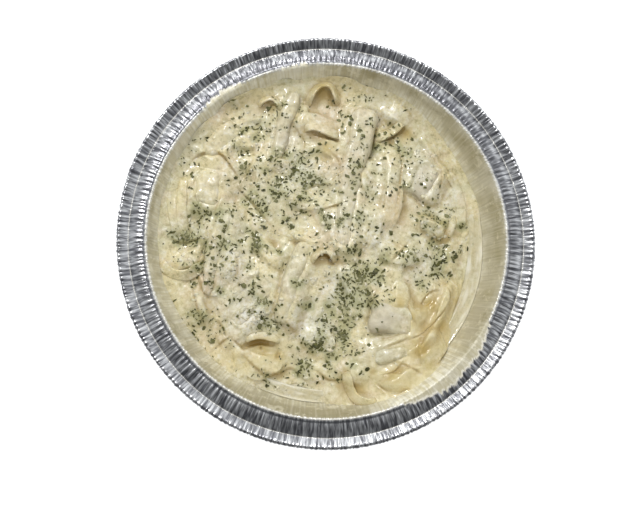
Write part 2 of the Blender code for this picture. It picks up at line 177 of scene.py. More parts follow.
# %% [markdown]
# ## Small helpers for meshes and materials
#
# A material is a Principled shader with a few nodes in front of it. The helpers below add a node, set
# its values and link it in one line, so that each finish further on reads as a list of its layers.

# %% Helpers for meshes
def new_object(name, shell, smooth=True):
    """Turn a bmesh into an object at the origin, with its faces smooth or flat."""
    mesh = bpy.data.meshes.new(name)
    shell.to_mesh(mesh)
    shell.free()
    mesh.polygons.foreach_set("use_smooth", [smooth] * len(mesh.polygons))
    piece = bpy.data.objects.new(name, mesh)
    bpy.context.scene.collection.objects.link(piece)
    return piece


def corners_of(mesh):
    """The places of a mesh's vertices as a table with three columns."""
    places = np.empty(len(mesh.vertices) * 3)
    mesh.vertices.foreach_get("co", places)
    return places.reshape(-1, 3)


def corner_table(shell):
    """The places of a bmesh's vertices as such a table."""
    return np.array([vertex.co for vertex in shell.verts])


def set_corners(shell, corners):
    """Move a bmesh's vertices to the places in a table."""
    for vertex, corner in zip(shell.verts, corners):
        vertex.co = corner


def to_metres(shell):
    """Scale a bmesh that was made in millimetres."""
    for vertex in shell.verts:
        vertex.co *= MM


def polar(places):
    """Distance from the pan's axis and angle round it, for each place in a table."""
    return np.hypot(places[:, 0], places[:, 1]), np.arctan2(places[:, 1], places[:, 0])


def turned(profile, steps, merge, unit=1.0):
    """A profile of radius and height spun about the axis into a skin, its doubles merged."""
    shell = bmesh.new()
    ring = [shell.verts.new((radius * unit, 0.0, height * unit)) for radius, height in profile]
    wires = [shell.edges.new(pair) for pair in zip(ring, ring[1:])]
    bmesh.ops.spin(shell, geom=ring + wires, cent=(0, 0, 0), axis=(0, 0, 1), angle=2 * math.pi,
                   steps=steps, use_merge=True)
    bmesh.ops.remove_doubles(shell, verts=shell.verts, dist=merge * unit)
    return shell


def set_attribute(mesh, name, values):
    """Store one number for each vertex under a name that a material can read."""
    layer = mesh.attributes.get(name) or mesh.attributes.new(name, "FLOAT", "POINT")
    layer.data.foreach_set("value", np.asarray(values, dtype=np.float32))


def triangle_count(piece):
    """Triangles of a piece's own mesh, before its modifiers."""
    return sum(len(face.vertices) - 2 for face in piece.data.polygons)


print("mesh helpers ready")


# %% A material written node by node
class Finish:
    """A material that is written down node by node."""

    def __init__(self, name, tree=None):
        if tree is None:
            self.material = bpy.data.materials.new(name)
            self.material.use_nodes = True
            tree = self.material.node_tree
            self.shader = tree.nodes["Principled BSDF"]
        self.tree = tree

    def node(self, kind, inputs=None, **settings):
        made = self.tree.nodes.new(kind)
        for key, value in settings.items():
            setattr(made, key, value)
        for key, value in (inputs or {}).items():
            self.put(made.inputs[key], value)
        return made

    def put(self, socket, value):
        if isinstance(value, bpy.types.NodeSocket):
            self.tree.links.new(value, socket)
        elif isinstance(value, tuple) and len(value) == 3 and socket.type == "RGBA":
            socket.default_value = (*value, 1.0)
        else:
            socket.default_value = value

    def set(self, **values):
        """Set or link the shader's sockets: base_color=... stands for Base Color."""
        for key, value in values.items():
            self.put(self.shader.inputs[key.replace("_", " ").title()], value)

    def attribute(self, name):
        return self.node("ShaderNodeAttribute", attribute_name=name).outputs["Fac"]

    def place(self):
        return self.node("ShaderNodeTexCoord").outputs["Object"]

    def grain(self, scale, detail=3.0, rough=0.55, place=None):
        """A cloudy noise whose features are about 1/scale metres across."""
        return self.node("ShaderNodeTexNoise", {"Vector": place or self.place(), "Scale": scale,
                                                "Detail": detail, "Roughness": rough}).outputs["Fac"]

    def ramp(self, value, low, high, to_low=0.0, to_high=1.0):
        """Stretch the part of a value between low and high."""
        return self.node("ShaderNodeMapRange", {"Value": value, "From Min": low, "From Max": high,
                                                "To Min": to_low, "To Max": to_high}).outputs["Result"]

    def sum(self, first, second, operation="ADD"):
        return self.node("ShaderNodeMath", {0: first, 1: second}, operation=operation).outputs[0]

    def mix(self, share, first, second):
        made = self.node("ShaderNodeMix", data_type="RGBA")
        for socket, value in zip((made.inputs[0], made.inputs[6], made.inputs[7]),
                                 (share, first, second)):
            self.put(socket, value)
        return made.outputs[2]

    def washes(self, colour, *layers):
        """Lay colours over a colour one after another, each with its share."""
        for share, wash in layers:
            colour = self.mix(share, colour, wash)
        return colour

    def bump(self, height, strength, distance, below=None):
        made = self.node("ShaderNodeBump", {"Height": height, "Strength": strength,
                                            "Distance": distance})
        if below:
            self.put(made.inputs["Normal"], below)
        return made.outputs["Normal"]


print("material helpers ready")


# %% Colours
def from_screen(red, green, blue):
    """A colour read off a screen (0 to 255 a channel) as the shader wants it."""
    shares = [channel / 255 for channel in (red, green, blue)]
    return tuple(share / 12.92 if share <= 0.04045 else ((share + 0.055) / 1.055) ** 2.4
                 for share in shares)


print("mid grey on a screen is", round(from_screen(128, 128, 128)[0], 3), "to the shader")

# %% [markdown]
# ## The floor
#
# The dish stands on a plain pale floor. It shines a little of its own light, so that it stays nearly
# white where the dish throws its soft shadow.

# %% Floor
FLOOR_SIDE, FLOOR_DROP = 6.0, 0.05      # side in metres, gap below the pan in millimetres
FLOOR_GLOW = 0.6
sheet = bmesh.new()
bmesh.ops.create_grid(sheet, x_segments=4, y_segments=4, size=FLOOR_SIDE / 2,
                      matrix=Matrix.Translation((0, 0, -FLOOR_DROP * MM)))
floor = new_object("floor", sheet)
paper = Finish("pale paper")
paper.set(base_color=paper.mix(paper.grain(6.0), (0.90, 0.90, 0.90), (0.93, 0.93, 0.92)),
          roughness=0.9, emission_color=(1.0, 1.0, 1.0), emission_strength=FLOOR_GLOW)
floor.data.materials.append(paper.material)
print("floor", FLOOR_SIDE, "m wide")

# %% [markdown]
# ## The foil pan
#
# The real pan is pressed from flat foil. The spare foil of the rising wall is gathered in hundreds of
# narrow crimps, and round the mouth it is rolled into a bead, a rounded band and a flared lip, where
# the pleats are deepest. One profile is spun about the axis in many small steps, and each spoke is
# then pushed in or out by the pleat it belongs to, so the pleats are real shape that catches the light.

# %% Pan sizes
BEAD_RADIUS, BEAD_HEIGHT = 82.5, 44.0
BASE_RADIUS, CORNER_RADIUS = 66.8, 3.5
FOIL = 0.5
SPOKES = 1200
WALL_TOP_RADIUS = BEAD_RADIUS - 0.8
WALL_SLOPE = (WALL_TOP_RADIUS - BASE_RADIUS) / (BEAD_HEIGHT - CORNER_RADIUS)
SAUCE_LEVEL = 26.0

wall_heights = (42.0, 40.0, 36.0, 31.0, 24.0, 14.0)
corner_lean = math.atan(WALL_SLOPE)
corner_foot = CORNER_RADIUS * (1 - math.sin(corner_lean))
corner_middle = (BASE_RADIUS + WALL_SLOPE * (corner_foot - CORNER_RADIUS)
                 - CORNER_RADIUS * math.cos(corner_lean))
pan_profile = [
    (94.55, 42.50), (94.95, 42.62), (95.15, 42.95), (94.95, 43.22), (94.45, 43.20),
    (93.60, 42.80), (92.60, 42.35), (91.70, 41.90), (91.00, 41.52), (90.50, 41.32),
    (90.05, 41.48), (89.40, 41.95), (88.60, 42.50), (87.60, 42.95), (87.05, 43.10),
    (86.50, 43.22), (85.95, 43.29), (85.40, 43.33), (84.90, 43.34), (84.40, 43.33),
    (83.60, 43.30), (83.10, 43.50), (82.80, 43.82),
    (82.50, 44.00), (82.20, 43.85), (81.95, 43.50), (WALL_TOP_RADIUS, 43.00),
]
pan_profile += [(BASE_RADIUS + WALL_SLOPE * (height - CORNER_RADIUS), height)
                for height in wall_heights]
for share in (0.0, 0.34, 0.67, 1.0):
    angle = corner_lean + (math.pi / 2 - corner_lean) * share
    pan_profile.append((corner_middle + CORNER_RADIUS * math.cos(angle),
                        CORNER_RADIUS * (1 - math.sin(angle))))
pan_profile += [(58.0, 0.0), (56.5, 0.45), (54.5, 0.45), (53.0, 0.0)]
print("pan profile:", len(pan_profile), "points")


# %% Pleats
def pleat_row(draw, narrow, wide, strength):
    """One height for each spoke: a jagged row of folds between narrow and wide spokes across."""
    row = np.zeros(SPOKES)
    spoke, side = 0, 1
    while spoke < SPOKES:
        width = draw.randint(narrow, wide)
        crest = min(spoke + draw.randint(1, max(1, width - 1)), SPOKES - 1)
        row[crest] = side * strength * draw.uniform(0.45, 1.25)
        spoke, side = spoke + width, -side
    knots = np.flatnonzero(row)
    ends = np.concatenate([knots, [knots[0] + SPOKES]])
    return np.interp(np.arange(SPOKES) + (np.arange(SPOKES) < knots[0]) * SPOKES, ends,
                     row[ends % SPOKES])


pleat_draw = random.Random(3)
lip_pleats = pleat_row(pleat_draw, 1, 3, 0.17)
band_pleats = pleat_row(pleat_draw, 1, 3, 0.20)
band_pleats_inner = 0.55 * band_pleats + pleat_row(pleat_draw, 2, 4, 0.10)
bead_pleats = pleat_row(pleat_draw, 1, 3, 0.05)
wall_pleats = pleat_row(pleat_draw, 1, 3, 0.10)
wall_pleats_low = 0.6 * wall_pleats + pleat_row(pleat_draw, 3, 7, 0.07)
broad_dents = pleat_row(pleat_draw, 18, 60, 0.16)
print("pleats round the band:", int(np.sum(np.diff(np.sign(np.diff(band_pleats))) != 0)))


# %% Spilled sauce on the rim
# Where sauce was spilled over the bead: middle and half width in degrees round the pan, and the
# radius out to which it has run.
SPILLS = ((-47.0, 21.0, 87.4), (126.0, 9.0, 84.2), (100.0, 7.0, 83.4))
SPILL_LIMIT = 90             # no spill reaches this radius


def spill_cover(angle, radius, fade=0.5):
    """How far the foil there is covered by spilled sauce, 0 to 1, with a ragged edge."""
    cover = 0.0
    for middle, half, reach in SPILLS:
        away = abs((math.degrees(angle) - middle + 180) % 360 - 180) / half
        if away < 1.2:
            ragged = (noise.noise((math.cos(angle) * 45, math.sin(angle) * 45, middle)) * 1.6
                      + noise.noise((math.cos(angle) * 130, math.sin(angle) * 130, 4.0)) * 0.9)
            edge = BEAD_RADIUS + (reach - BEAD_RADIUS) * (1 - away ** 2) + ragged
            cover = max(cover, min(1.0, max(0.0, (edge - radius) / fade)))
    return cover


def spilled(places, inner, fade=0.5):
    """The spill's cover at each place in a table, zero up to the inner radius."""
    return np.array([spill_cover(math.atan2(y, x), math.hypot(x, y), fade)
                     if inner < math.hypot(x, y) < SPILL_LIMIT else 0.0 for x, y, z in places])


print("spills over the rim:", len(SPILLS))

# %% How the pleats push each point
# Radius where the lip, the band and the crease between them begin, and height of the bead's foot.
LIP_FROM, BAND_FROM, CREASE_RADIUS, BEAD_FROM = 91.2, 83.4, 90.6, 42.9
BAND_WIDTH = 7.0
BROAD_SHARE = 0.4            # how much of the broad dents shows on band and lip


def pleat_height(spoke, radius, height):
    """How far a point of the profile moves along its normal, in millimetres."""
    broad = BROAD_SHARE * broad_dents[spoke]
    if radius > LIP_FROM:
        return lip_pleats[spoke] * min(1.0, (radius - CREASE_RADIUS) / 1.6) + broad
    if radius > BAND_FROM:
        share = (radius - BAND_FROM) / BAND_WIDTH
        arch = math.sin(math.pi * min(1.0, 0.12 + share * 0.84))
        mixed = band_pleats[spoke] * share + band_pleats_inner[spoke] * (1 - share)
        return mixed * arch + broad * share
    if height > BEAD_FROM:
        return bead_pleats[spoke]
    share = min(1.0, max(0.0, (height - CORNER_RADIUS) / 30.0))
    mixed = wall_pleats[spoke] * share + wall_pleats_low[spoke] * (1 - share)
    turn = 2 * math.pi * spoke / SPOKES
    depth = min(1.15, max(0.25, 0.6 + 1.2 * noise.noise((3 * math.cos(turn), 3 * math.sin(turn),
                                                         height / 16))))
    return mixed * depth * min(1.0, height / 12.0) * min(1.0, (43.6 - height) / 1.5)


print("deepest push on the band:",
      round(max(abs(float(pleat_height(spoke, 87.0, 43.1))) for spoke in range(SPOKES)), 2), "mm")

# %% Spin the pan
outline = turned(pan_profile, SPOKES, 0.02, MM)
open_ring = [edge for edge in outline.edges
             if edge.is_boundary and edge.verts[0].co.to_2d().length < 54 * MM]
bmesh.ops.contextual_create(outline, geom=open_ring)
bmesh.ops.recalc_face_normals(outline, faces=outline.faces)
lowest = min(outline.faces, key=lambda face: face.calc_center_median().z)
if lowest.normal.z > 0:
    bmesh.ops.reverse_faces(outline, faces=outline.faces)
print("pan skin:", len(outline.faces), "faces")

# %% Push in the pleats
profile_line = np.array(pan_profile)
tangent = np.gradient(profile_line, axis=0)
normals = np.stack([-tangent[:, 1], tangent[:, 0]], axis=1)
normals /= np.linalg.norm(normals, axis=1, keepdims=True)
for vertex in outline.verts:
    radius, height = vertex.co.to_2d().length / MM, vertex.co.z / MM
    row = int(np.argmin(np.hypot(profile_line[:, 0] - radius, profile_line[:, 1] - height)))
    angle = math.atan2(vertex.co.y, vertex.co.x)
    spoke = round(angle / (2 * math.pi) * SPOKES) % SPOKES
    push = pleat_height(spoke, radius, height)
    cover = spill_cover(angle, radius)
    push = push * (1 - 0.8 * cover)
    out, up = normals[row] * -push
    up -= 0.9 * cover * max(0.0, height - 43.3)            # the spill hides the bead
    vertex.co.x += out * MM * math.cos(angle)
    vertex.co.y += out * MM * math.sin(angle)
    vertex.co.z += up * MM
pan = new_object("foil_pan", outline)
pan.name = "crimped_foil_pan"
wall = pan.modifiers.new("foil thickness", "SOLIDIFY")
wall.thickness = FOIL * MM
wall.offset = -1.0
wall.use_rim = True
both_sides, edge = triangle_count(pan) * 2, SPOKES * 2      # the edge of the lip closes the foil
print("pan:", both_sides + edge, "triangles")

# %% Where the foil is filmed with sauce, and where light and shade are painted on it
FILM_RADIUS = 82.2           # the film of sauce ends here, but for the spills
places = corners_of(pan.data) / MM
reach = np.hypot(places[:, 0], places[:, 1])
film = np.where(reach < FILM_RADIUS, 1.0, 0.0)
film = np.maximum(film, spilled(places, 82.0))
set_attribute(pan.data, "film", film)
# A painted highlight runs along the crest of the bead and in the crease before the lip, and the foil is
# pale along the ragged edge of a spill.
painted_highlight_and_pale_edge = np.maximum(np.exp(-((reach - BEAD_RADIUS + 0.15) / 0.24) ** 2) * (places[:, 2] > 43.3),
                  0.75 * np.exp(-((reach - 90.5) / 0.30) ** 2) * (places[:, 2] > 40))
painted_highlight_and_pale_edge[reach > 82.0] *= 1 - film[reach > 82.0]
spill_edge = spilled(places, 83.0, 1.3)
painted_highlight_and_pale_edge = np.maximum(painted_highlight_and_pale_edge, 3.2 * spill_edge * (1 - spill_edge) * film)
set_attribute(pan.data, "painted_highlight_and_pale_edge", painted_highlight_and_pale_edge)
# Painted dark reflection on the inner part of the band, most at the far side, and on the lip at the
# near side, and painted shade in the crease between bead and band.
far_side = np.clip(0.4 + 0.8 * places[:, 1] / reach, 0, 1)
dark_reflection_and_crease_shade = far_side * (reach > BEAD_RADIUS + 0.6) * np.clip((87.4 - reach) / 1.2, 0, 1)
dark_reflection_and_crease_shade = np.maximum(dark_reflection_and_crease_shade, 0.25 * (reach > CREASE_RADIUS) * np.clip(-1.4 * places[:, 1] / reach, 0, 1))
crease_painted_shade = np.exp(-((reach - 83.5) / 0.4) ** 2)          # the crease between bead and band
set_attribute(pan.data, "dark_reflection_and_crease_shade", np.maximum(dark_reflection_and_crease_shade, 0.9 * crease_painted_shade) * (1 - film))
pan.data.set_sharp_from_angle(angle=math.radians(60))
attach(pan, "root")
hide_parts("foil_pan")
print("filmed corners:", int((film > 0.5).sum()), "worn corners:", int((painted_highlight_and_pale_edge > 0.5).sum()))

# %% [markdown]
# The foil itself is bare metal, bright and a little uneven. Its colour is streaked light and dark
# along the spokes as a painted reflection of the crimps. The finest wrinkles run outwards like
# spokes: a noise is read at the direction from the axis, so it hardly changes along a spoke. Inside,
# a thin film of sauce has dried on the wall: it hides some of the shine and turns it beige.

# %% Foil
FILM_COLOUR = from_screen(206, 199, 176)
FILM_DARK = from_screen(178, 169, 136)
FILM_BROWN = from_screen(152, 142, 108)
FOIL_BRIGHT, FOIL_DARK = (0.87, 0.87, 0.87), (0.23, 0.23, 0.245)
SPOKE_CIRCLE = 0.085


def spoke_place(finish, along):
    """The place with its distance from the axis nearly taken out: noise there runs in spokes."""
    flat = finish.node("ShaderNodeVectorMath", {0: finish.place(), 1: (1.0, 1.0, 0.0)},
                       operation="MULTIPLY").outputs["Vector"]
    heading = finish.node("ShaderNodeVectorMath", {0: flat}, operation="NORMALIZE").outputs["Vector"]
    reach = finish.node("ShaderNodeVectorMath", {0: flat}, operation="LENGTH").outputs["Value"]
    circle = finish.node("ShaderNodeVectorMath", {0: heading, 3: SPOKE_CIRCLE}, operation="SCALE")
    lift = finish.node("ShaderNodeCombineXYZ", {2: finish.sum(reach, along, "MULTIPLY")})
    return finish.node("ShaderNodeVectorMath", {0: circle.outputs["Vector"], 1: lift.outputs[0]},
                       operation="ADD").outputs["Vector"]


print("noise runs in spokes on a circle of", SPOKE_CIRCLE, "m")

# %% Bare metal
foil = Finish("foil")
facing = foil.node("ShaderNodeSeparateXYZ", {0: foil.node("ShaderNodeNewGeometry").outputs["Normal"]})
inner_face = foil.ramp(facing.outputs["Z"], -0.06, 0.06)     # the sauce never got outside the pan
film_share = foil.sum(foil.attribute("film"), inner_face, "MULTIPLY")
highlight_and_pale_edge_share = foil.sum(foil.attribute("painted_highlight_and_pale_edge"), inner_face, "MULTIPLY")
wrinkles = foil.grain(1500.0, 1.0, place=spoke_place(foil, 0.10))
streaks = foil.grain(800.0, 2.0, place=spoke_place(foil, 0.16))
patches = foil.grain(55.0, 3.0)
# painted reflection: light streaks along the spokes on a dark base, darker in the wrinkles
metal = foil.washes(FOIL_DARK,
                    (foil.ramp(streaks, 0.40, 0.58), FOIL_BRIGHT),
                    (foil.ramp(wrinkles, 0.36, 0.46, 0.5, 0.0), FOIL_DARK),
                    # painted dark reflection and painted crease shade
                    (foil.attribute("dark_reflection_and_crease_shade"), FOIL_DARK))
print("metal:", len(foil.tree.nodes), "nodes")

# %% The film of sauce inside
# The film is browner towards the near side, where the pan's own Y is low.
toward_far = foil.node("ShaderNodeSeparateXYZ", {0: foil.place()}).outputs["Y"]
uneven_far = foil.sum(toward_far, foil.ramp(patches, 0.3, 0.7, -0.03, 0.03))
film_colour = foil.washes(
    FILM_COLOUR,
    (foil.ramp(patches, 0.38, 0.66), FILM_DARK),
    (foil.ramp(uneven_far, -0.085, -0.02, 0.75, 0.0), FILM_BROWN),
    (foil.ramp(streaks, 0.50, 0.68, 0.0, 0.32), from_screen(228, 222, 202)),
    (foil.ramp(wrinkles, 0.34, 0.46, 0.2, 0.0), from_screen(140, 131, 98)),
    (foil.ramp(foil.grain(150.0, 4.0, 0.7), 0.54, 0.62, 0.0, 0.6), from_screen(226, 219, 194)),
    (foil.ramp(foil.grain(95.0, 5.0, 0.75), 0.54, 0.64, 0.0, 0.5), FILM_BROWN))
print("film and metal:", len(foil.tree.nodes), "nodes")

# %% Smears, and the finish put together
smear_share = foil.sum(foil.attribute("smear"), inner_face, "MULTIPLY")
smear_colour = foil.mix(foil.ramp(streaks, 0.40, 0.60), from_screen(228, 220, 188),
                        from_screen(250, 246, 228))
smear_cover = foil.sum(smear_share, foil.ramp(foil.grain(300.0, 4.0), 0.35, 0.65, 0.55, 1.0),
                       "MULTIPLY")
film_colour = foil.mix(smear_cover, film_colour, smear_colour)
colour = foil.mix(film_share, metal, film_colour)
# painted highlight along the bead's crest and the crease, and the pale edge of a spill, near white
colour = foil.mix(highlight_and_pale_edge_share, colour, from_screen(240, 236, 222))
foil.set(base_color=colour,
         metallic=foil.sum(foil.sum(foil.ramp(film_share, 0.0, 1.0, 1.0, 0.14),
                                    foil.ramp(highlight_and_pale_edge_share, 0.0, 1.0, 1.0, 0.25), "MULTIPLY"),
                           foil.ramp(smear_cover, 0.0, 0.8, 1.0, 0.0), "MULTIPLY"),
         roughness=foil.sum(foil.ramp(film_share, 0.0, 1.0, 0.31, 0.40),
                            foil.ramp(patches, 0.3, 0.7, -0.03, 0.05)),
         normal=foil.bump(wrinkles, foil.ramp(film_share, 0.0, 1.0, 0.55, 0.2), 0.00025,
                          foil.bump(streaks, foil.ramp(film_share, 0.0, 1.0, 0.5, 0.25), 0.0004)))
pan.data.materials.append(foil.material)
print("foil has", len(foil.tree.nodes), "nodes")


# %% [markdown]
# ## The form of the heap
#
# The noodles fill the pan as one low mound, higher towards the upper left of the photograph. Its
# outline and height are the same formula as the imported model's. Working in millimetres on a grid of
# half a millimetre, each noodle is then laid on what already lies there, the way it falls in the pan.

# %% Heap outline and height
HEAP_CREST, HEAP_EDGE, HEAP_EDGE_LEAN, HEAP_EDGE_LEAST = 36.5, 30.6, 5.4, 26.9
HEAP_RADIUS, HEAP_RADIUS_LEAN = 72.2, 5.0
HIGH_SIDE = math.radians(130)
HEAP_CLIMB, HEAP_CLIMB_REACH = 9.5, 12.0
CLIMB_SIDE, CLIMB_SPREAD = math.radians(-62), math.radians(21)
HEAP_LUMP = 0.9


def wall_at(height):
    """Inner radius of the pan's wall at a height."""
    return BASE_RADIUS + WALL_SLOPE * (height - CORNER_RADIUS) - FOIL * 1.1


def heap_climb(angle):
    """Share of the climb up the wall, 1 where the noodles lean on the near right side."""
    away = np.remainder(angle - CLIMB_SIDE + math.pi, 2 * math.pi) - math.pi
    return np.exp(-(away / CLIMB_SPREAD) ** 2)


def heap_edge(angle):
    """Height of the heap's edge at an angle round the pan."""
    lean = HEAP_EDGE_LEAN * np.cos(angle - HIGH_SIDE)
    return np.maximum(HEAP_EDGE_LEAST, HEAP_EDGE + lean) + HEAP_CLIMB * heap_climb(angle)


def heap_radius(angle):
    """How far the heap reaches from the axis at an angle round the pan."""
    free = (HEAP_RADIUS + HEAP_RADIUS_LEAN * np.cos(angle - HIGH_SIDE)
            + HEAP_CLIMB_REACH * heap_climb(angle)
            + 0.7 * np.sin(3 * angle + 0.8) + 0.5 * np.sin(8 * angle))
    return np.minimum(free, wall_at(heap_edge(angle)) - 0.9)


def gap_to_wall(angle):
    """How far the heap's edge stays from the wall, in millimetres."""
    return np.clip(wall_at(heap_edge(angle)) + 0.1 - heap_radius(angle), 0, None)


def sunk_share(gap):
    """How far the heap's edge sinks to the sauce there, 0 to 1, by its gap to the wall."""
    return np.clip((gap - 3.2) / 2.2, 0, 1)


def far_share(angle):
    """Where the sauce climbs the wall highest: 1 at the far side, 0 on the near half."""
    return np.clip(np.cos(angle - math.radians(98)), 0, 1) ** 2


def heap_height(x, y):
    """Height of the mound in millimetres over a point of the plan, also in millimetres."""
    angle = np.arctan2(y, x)
    share = np.minimum(1.0, np.hypot(x, y) / heap_radius(angle))
    edge = heap_edge(angle)
    lump = (np.sin(x * 0.140 + 1.0) * np.cos(y * 0.120 + 0.5)
            + 0.6 * np.sin(x * 0.070 - y * 0.090))
    return edge + (HEAP_CREST - edge) * (1 - share ** 2.4) + HEAP_LUMP * lump * (1 - share ** 4)


def on_heap(across, down):
    """The point of the mound that the photograph shows at that pixel: x and y in millimetres."""
    height = 34.0            # a first guess, set right in four rounds
    for _ in range(4):
        point = photo_point(across, down, height * MM) / MM
        height = float(heap_height(point.x, point.y))
    return point.x, point.y


print("crest:", round(float(heap_height(0.0, 0.0)), 1), "mm")

# %% A height grid that noodles are laid on
CELL = 0.5
GRID_HALF = 80.0
grid_axis = np.arange(-GRID_HALF, GRID_HALF + CELL / 2, CELL)
plan_x, plan_y = np.meshgrid(grid_axis, grid_axis, indexing="ij")
inside_heap = np.hypot(plan_x, plan_y) < heap_radius(np.arctan2(plan_y, plan_x)) - 1.5
CORE_DROP = 2.4
ground = np.where(inside_heap, heap_height(plan_x, plan_y) - CORE_DROP, SAUCE_LEVEL)


def cell_of(values):
    """Row or column of the grid for places in millimetres, kept off its border."""
    return np.clip(np.rint((values + GRID_HALF) / CELL).astype(int), 2, len(grid_axis) - 3)


def blurred(field, reach):
    """The field averaged over about that many millimetres: three box blurs each way."""
    half = max(1, round(reach / CELL / 1.7))
    for axis in (0, 1):
        for _ in range(3):
            total = sum(np.roll(field, shift, axis=axis) for shift in range(-half, half + 1))
            field = total / (2 * half + 1)
    return field


def spread(field, reach):
    """Each cell takes the highest value within that many millimetres."""
    for axis in (0, 1):
        steps = range(-round(reach / CELL), round(reach / CELL) + 1)
        field = np.maximum.reduce([np.roll(field, shift, axis=axis) for shift in steps])
    return field


def read_grid(field, x, y):
    """What a field on the grid says at points of the plan."""
    return field[cell_of(x), cell_of(y)]


def raise_grid(field, x, y, top):
    """Lift the field to the given tops, a square of three cells round each point."""
    row, column = cell_of(x), cell_of(y)
    for i in (-1, 0, 1):
        for j in (-1, 0, 1):
            np.maximum.at(field, (row + i, column + j), top)


print("grid:", ground.shape)

# %% [markdown]
# ## Noodles
#
# Cooked fettuccine is a soft flat band, here six to nine millimetres wide. The loose ones laid on top
# are four to five, because part of each is under the sauce. Each one starts as a flat bmesh grid, is
# bent along its line and let down onto the grid of heights, gets a little ruffle and curl across its
# width, and then its thickness. Where a noodle stands on its edge, as round the hollows that the
# photograph shows, a tilt turns the band about its line.

# %% Lines in the plan
NOODLE_THICKNESS = 1.25
SPACING = 1.1                # from one point along a noodle to the next, mm


def smooth_line(controls, spacing=SPACING):
    """Points that far apart on a smooth curve through the control points."""
    knots = np.array(controls, dtype=float)
    ends = np.vstack([2 * knots[0] - knots[1], knots, 2 * knots[-1] - knots[-2]])
    share = np.linspace(0, 1, 12, endpoint=False)[:, None]
    fine = []
    for before, start, stop, after in zip(ends, ends[1:], ends[2:], ends[3:]):
        fine.append(0.5 * (2 * start + (stop - before) * share
                           + (2 * before - 5 * start + 4 * stop - after) * share ** 2
                           + (3 * start - before - 3 * stop + after) * share ** 3))
    fine = np.vstack(fine + [knots[-1:]])
    length = np.concatenate([[0], np.cumsum(np.linalg.norm(np.diff(fine, axis=0), axis=1))])
    marks = np.linspace(0, length[-1], max(5, round(length[-1] / spacing)) + 1)
    return np.stack([np.interp(marks, length, fine[:, axis]) for axis in range(knots.shape[1])],
                    axis=1)


def arc_line(x, y, heading, length, bend):
    """Control points of an arc that starts at x, y and turns by bend degrees."""
    count = max(3, round(length / 5))
    angle, turn = math.radians(heading), math.radians(bend) / count
    points = [(x, y)]
    for _ in range(count):
        x += length / count * math.cos(angle + turn / 2)
        y += length / count * math.sin(angle + turn / 2)
        angle += turn
        points.append((x, y))
    return points


print("points on a 40 mm quarter turn:", len(smooth_line(arc_line(0.0, 0.0, 0.0, 40.0, 90.0))))

# %% Lay one noodle
ACROSS = 6                   # faces across its width


def lay_noodle(controls, draw, width=7.2, lift=0.0, arch=0.0, tilt=0.0, ruffle=0.3, sink=1.8,
               thickness=NOODLE_THICKNESS):
    """A closed band along the control points, let down on the ground, which then rises under it."""
    line = smooth_line(controls)
    count = len(line) - 1
    length = count * SPACING
    band = bmesh.new()
    bmesh.ops.create_grid(band, x_segments=count, y_segments=ACROSS, size=0.5)
    along = np.array([vertex.co.x + 0.5 for vertex in band.verts])
    side = np.array([vertex.co.y * 2.0 for vertex in band.verts])
    marks = np.arange(count + 1) / count
    slope = np.gradient(line, axis=0)
    slope /= np.linalg.norm(slope, axis=1, keepdims=True)
    middle = np.stack([np.interp(along, marks, line[:, axis]) for axis in (0, 1)], axis=1)
    left = np.stack([-np.interp(along, marks, slope[:, 1]), np.interp(along, marks, slope[:, 0])],
                    axis=1)
    # a tilted noodle stands up along its middle and lies flat at its ends
    lean = math.radians(tilt) * np.clip(np.sin(np.pi * along) * 2.2, 0.0, 1.0)
    upright = np.abs(np.sin(lean))
    phase = draw.uniform(0, 6.28)
    # over its last five millimetres it narrows and sinks into the sauce
    near_end = np.clip(np.minimum(along, 1 - along) * length / 5.0, 0, 1)
    half = width / 2 * (1 + 0.06 * np.sin(along * 9 + phase)) * np.sqrt(0.12 + 0.88 * near_end)
    flat = middle + left * (side * half * np.cos(lean))[:, None]
    rest = blurred(spread(ground, 1.0), 2.0)
    base = (read_grid(rest, flat[:, 0], flat[:, 1]) * (1 - upright)
            + read_grid(rest, middle[:, 0], middle[:, 1]) * upright)
    wave = ruffle * side ** 2 * np.sin(along * length / 3.1 + phase + side * 0.9)
    cup = 0.35 * draw.uniform(-1, 1) * (1 - side ** 2)
    height = (base + side * half * np.sin(lean) + half * upright * 0.55 + lift
              + arch * np.sin(np.pi * along) + wave + cup - sink * (1 - near_end) ** 2
              + thickness / 2)
    for vertex, (x, y), z in zip(band.verts, flat, height):
        vertex.co = (x, y, z)
    bmesh.ops.recalc_face_normals(band, faces=band.faces)
    if not tilt:             # one that stands on its edge carries nothing
        if sum(face.normal.z for face in band.faces) < 0:
            bmesh.ops.reverse_faces(band, faces=band.faces)
        raise_grid(ground, flat[:, 0], flat[:, 1], height + thickness / 2)
    bmesh.ops.solidify(band, geom=band.faces[:], thickness=thickness)
    bmesh.ops.recalc_face_normals(band, faces=band.faces)
    return band


def pour_in(target, extra):
    """Add one bmesh to another and free it."""
    mesh = bpy.data.meshes.new("scrap")
    extra.to_mesh(mesh)
    extra.free()
    target.from_mesh(mesh)
    bpy.data.meshes.remove(mesh)


print("a noodle is", ACROSS, "faces wide and", NOODLE_THICKNESS, "mm thick")

# %% Noodles that lie underneath
# Hidden or half hidden ones, each an arc drawn at random, laid first.
UNDER_COUNT = 62
under_draw = random.Random(21)
strands = bmesh.new()
laid = 0
for index in range(UNDER_COUNT):
    reach = 62 * math.sqrt(under_draw.random())
    turn = under_draw.uniform(0, 2 * math.pi)
    length = under_draw.uniform(26, 46)
    heading = under_draw.uniform(0, 360)
    bend = under_draw.uniform(-110, 110)
    controls = [point for point in arc_line(reach * math.cos(turn), reach * math.sin(turn), heading,
                                            length, bend)
                if math.hypot(*point) < heap_radius(math.atan2(point[1], point[0])) - 6]
    if len(controls) > 3:
        pour_in(strands, lay_noodle(controls, under_draw, width=under_draw.uniform(6.2, 7.8),
                                    lift=-0.7, ruffle=0.3))
        laid += 1
print("noodles underneath:", laid, "of", UNDER_COUNT, "drawn, ground now",
      round(float(ground.max()), 1), "mm")

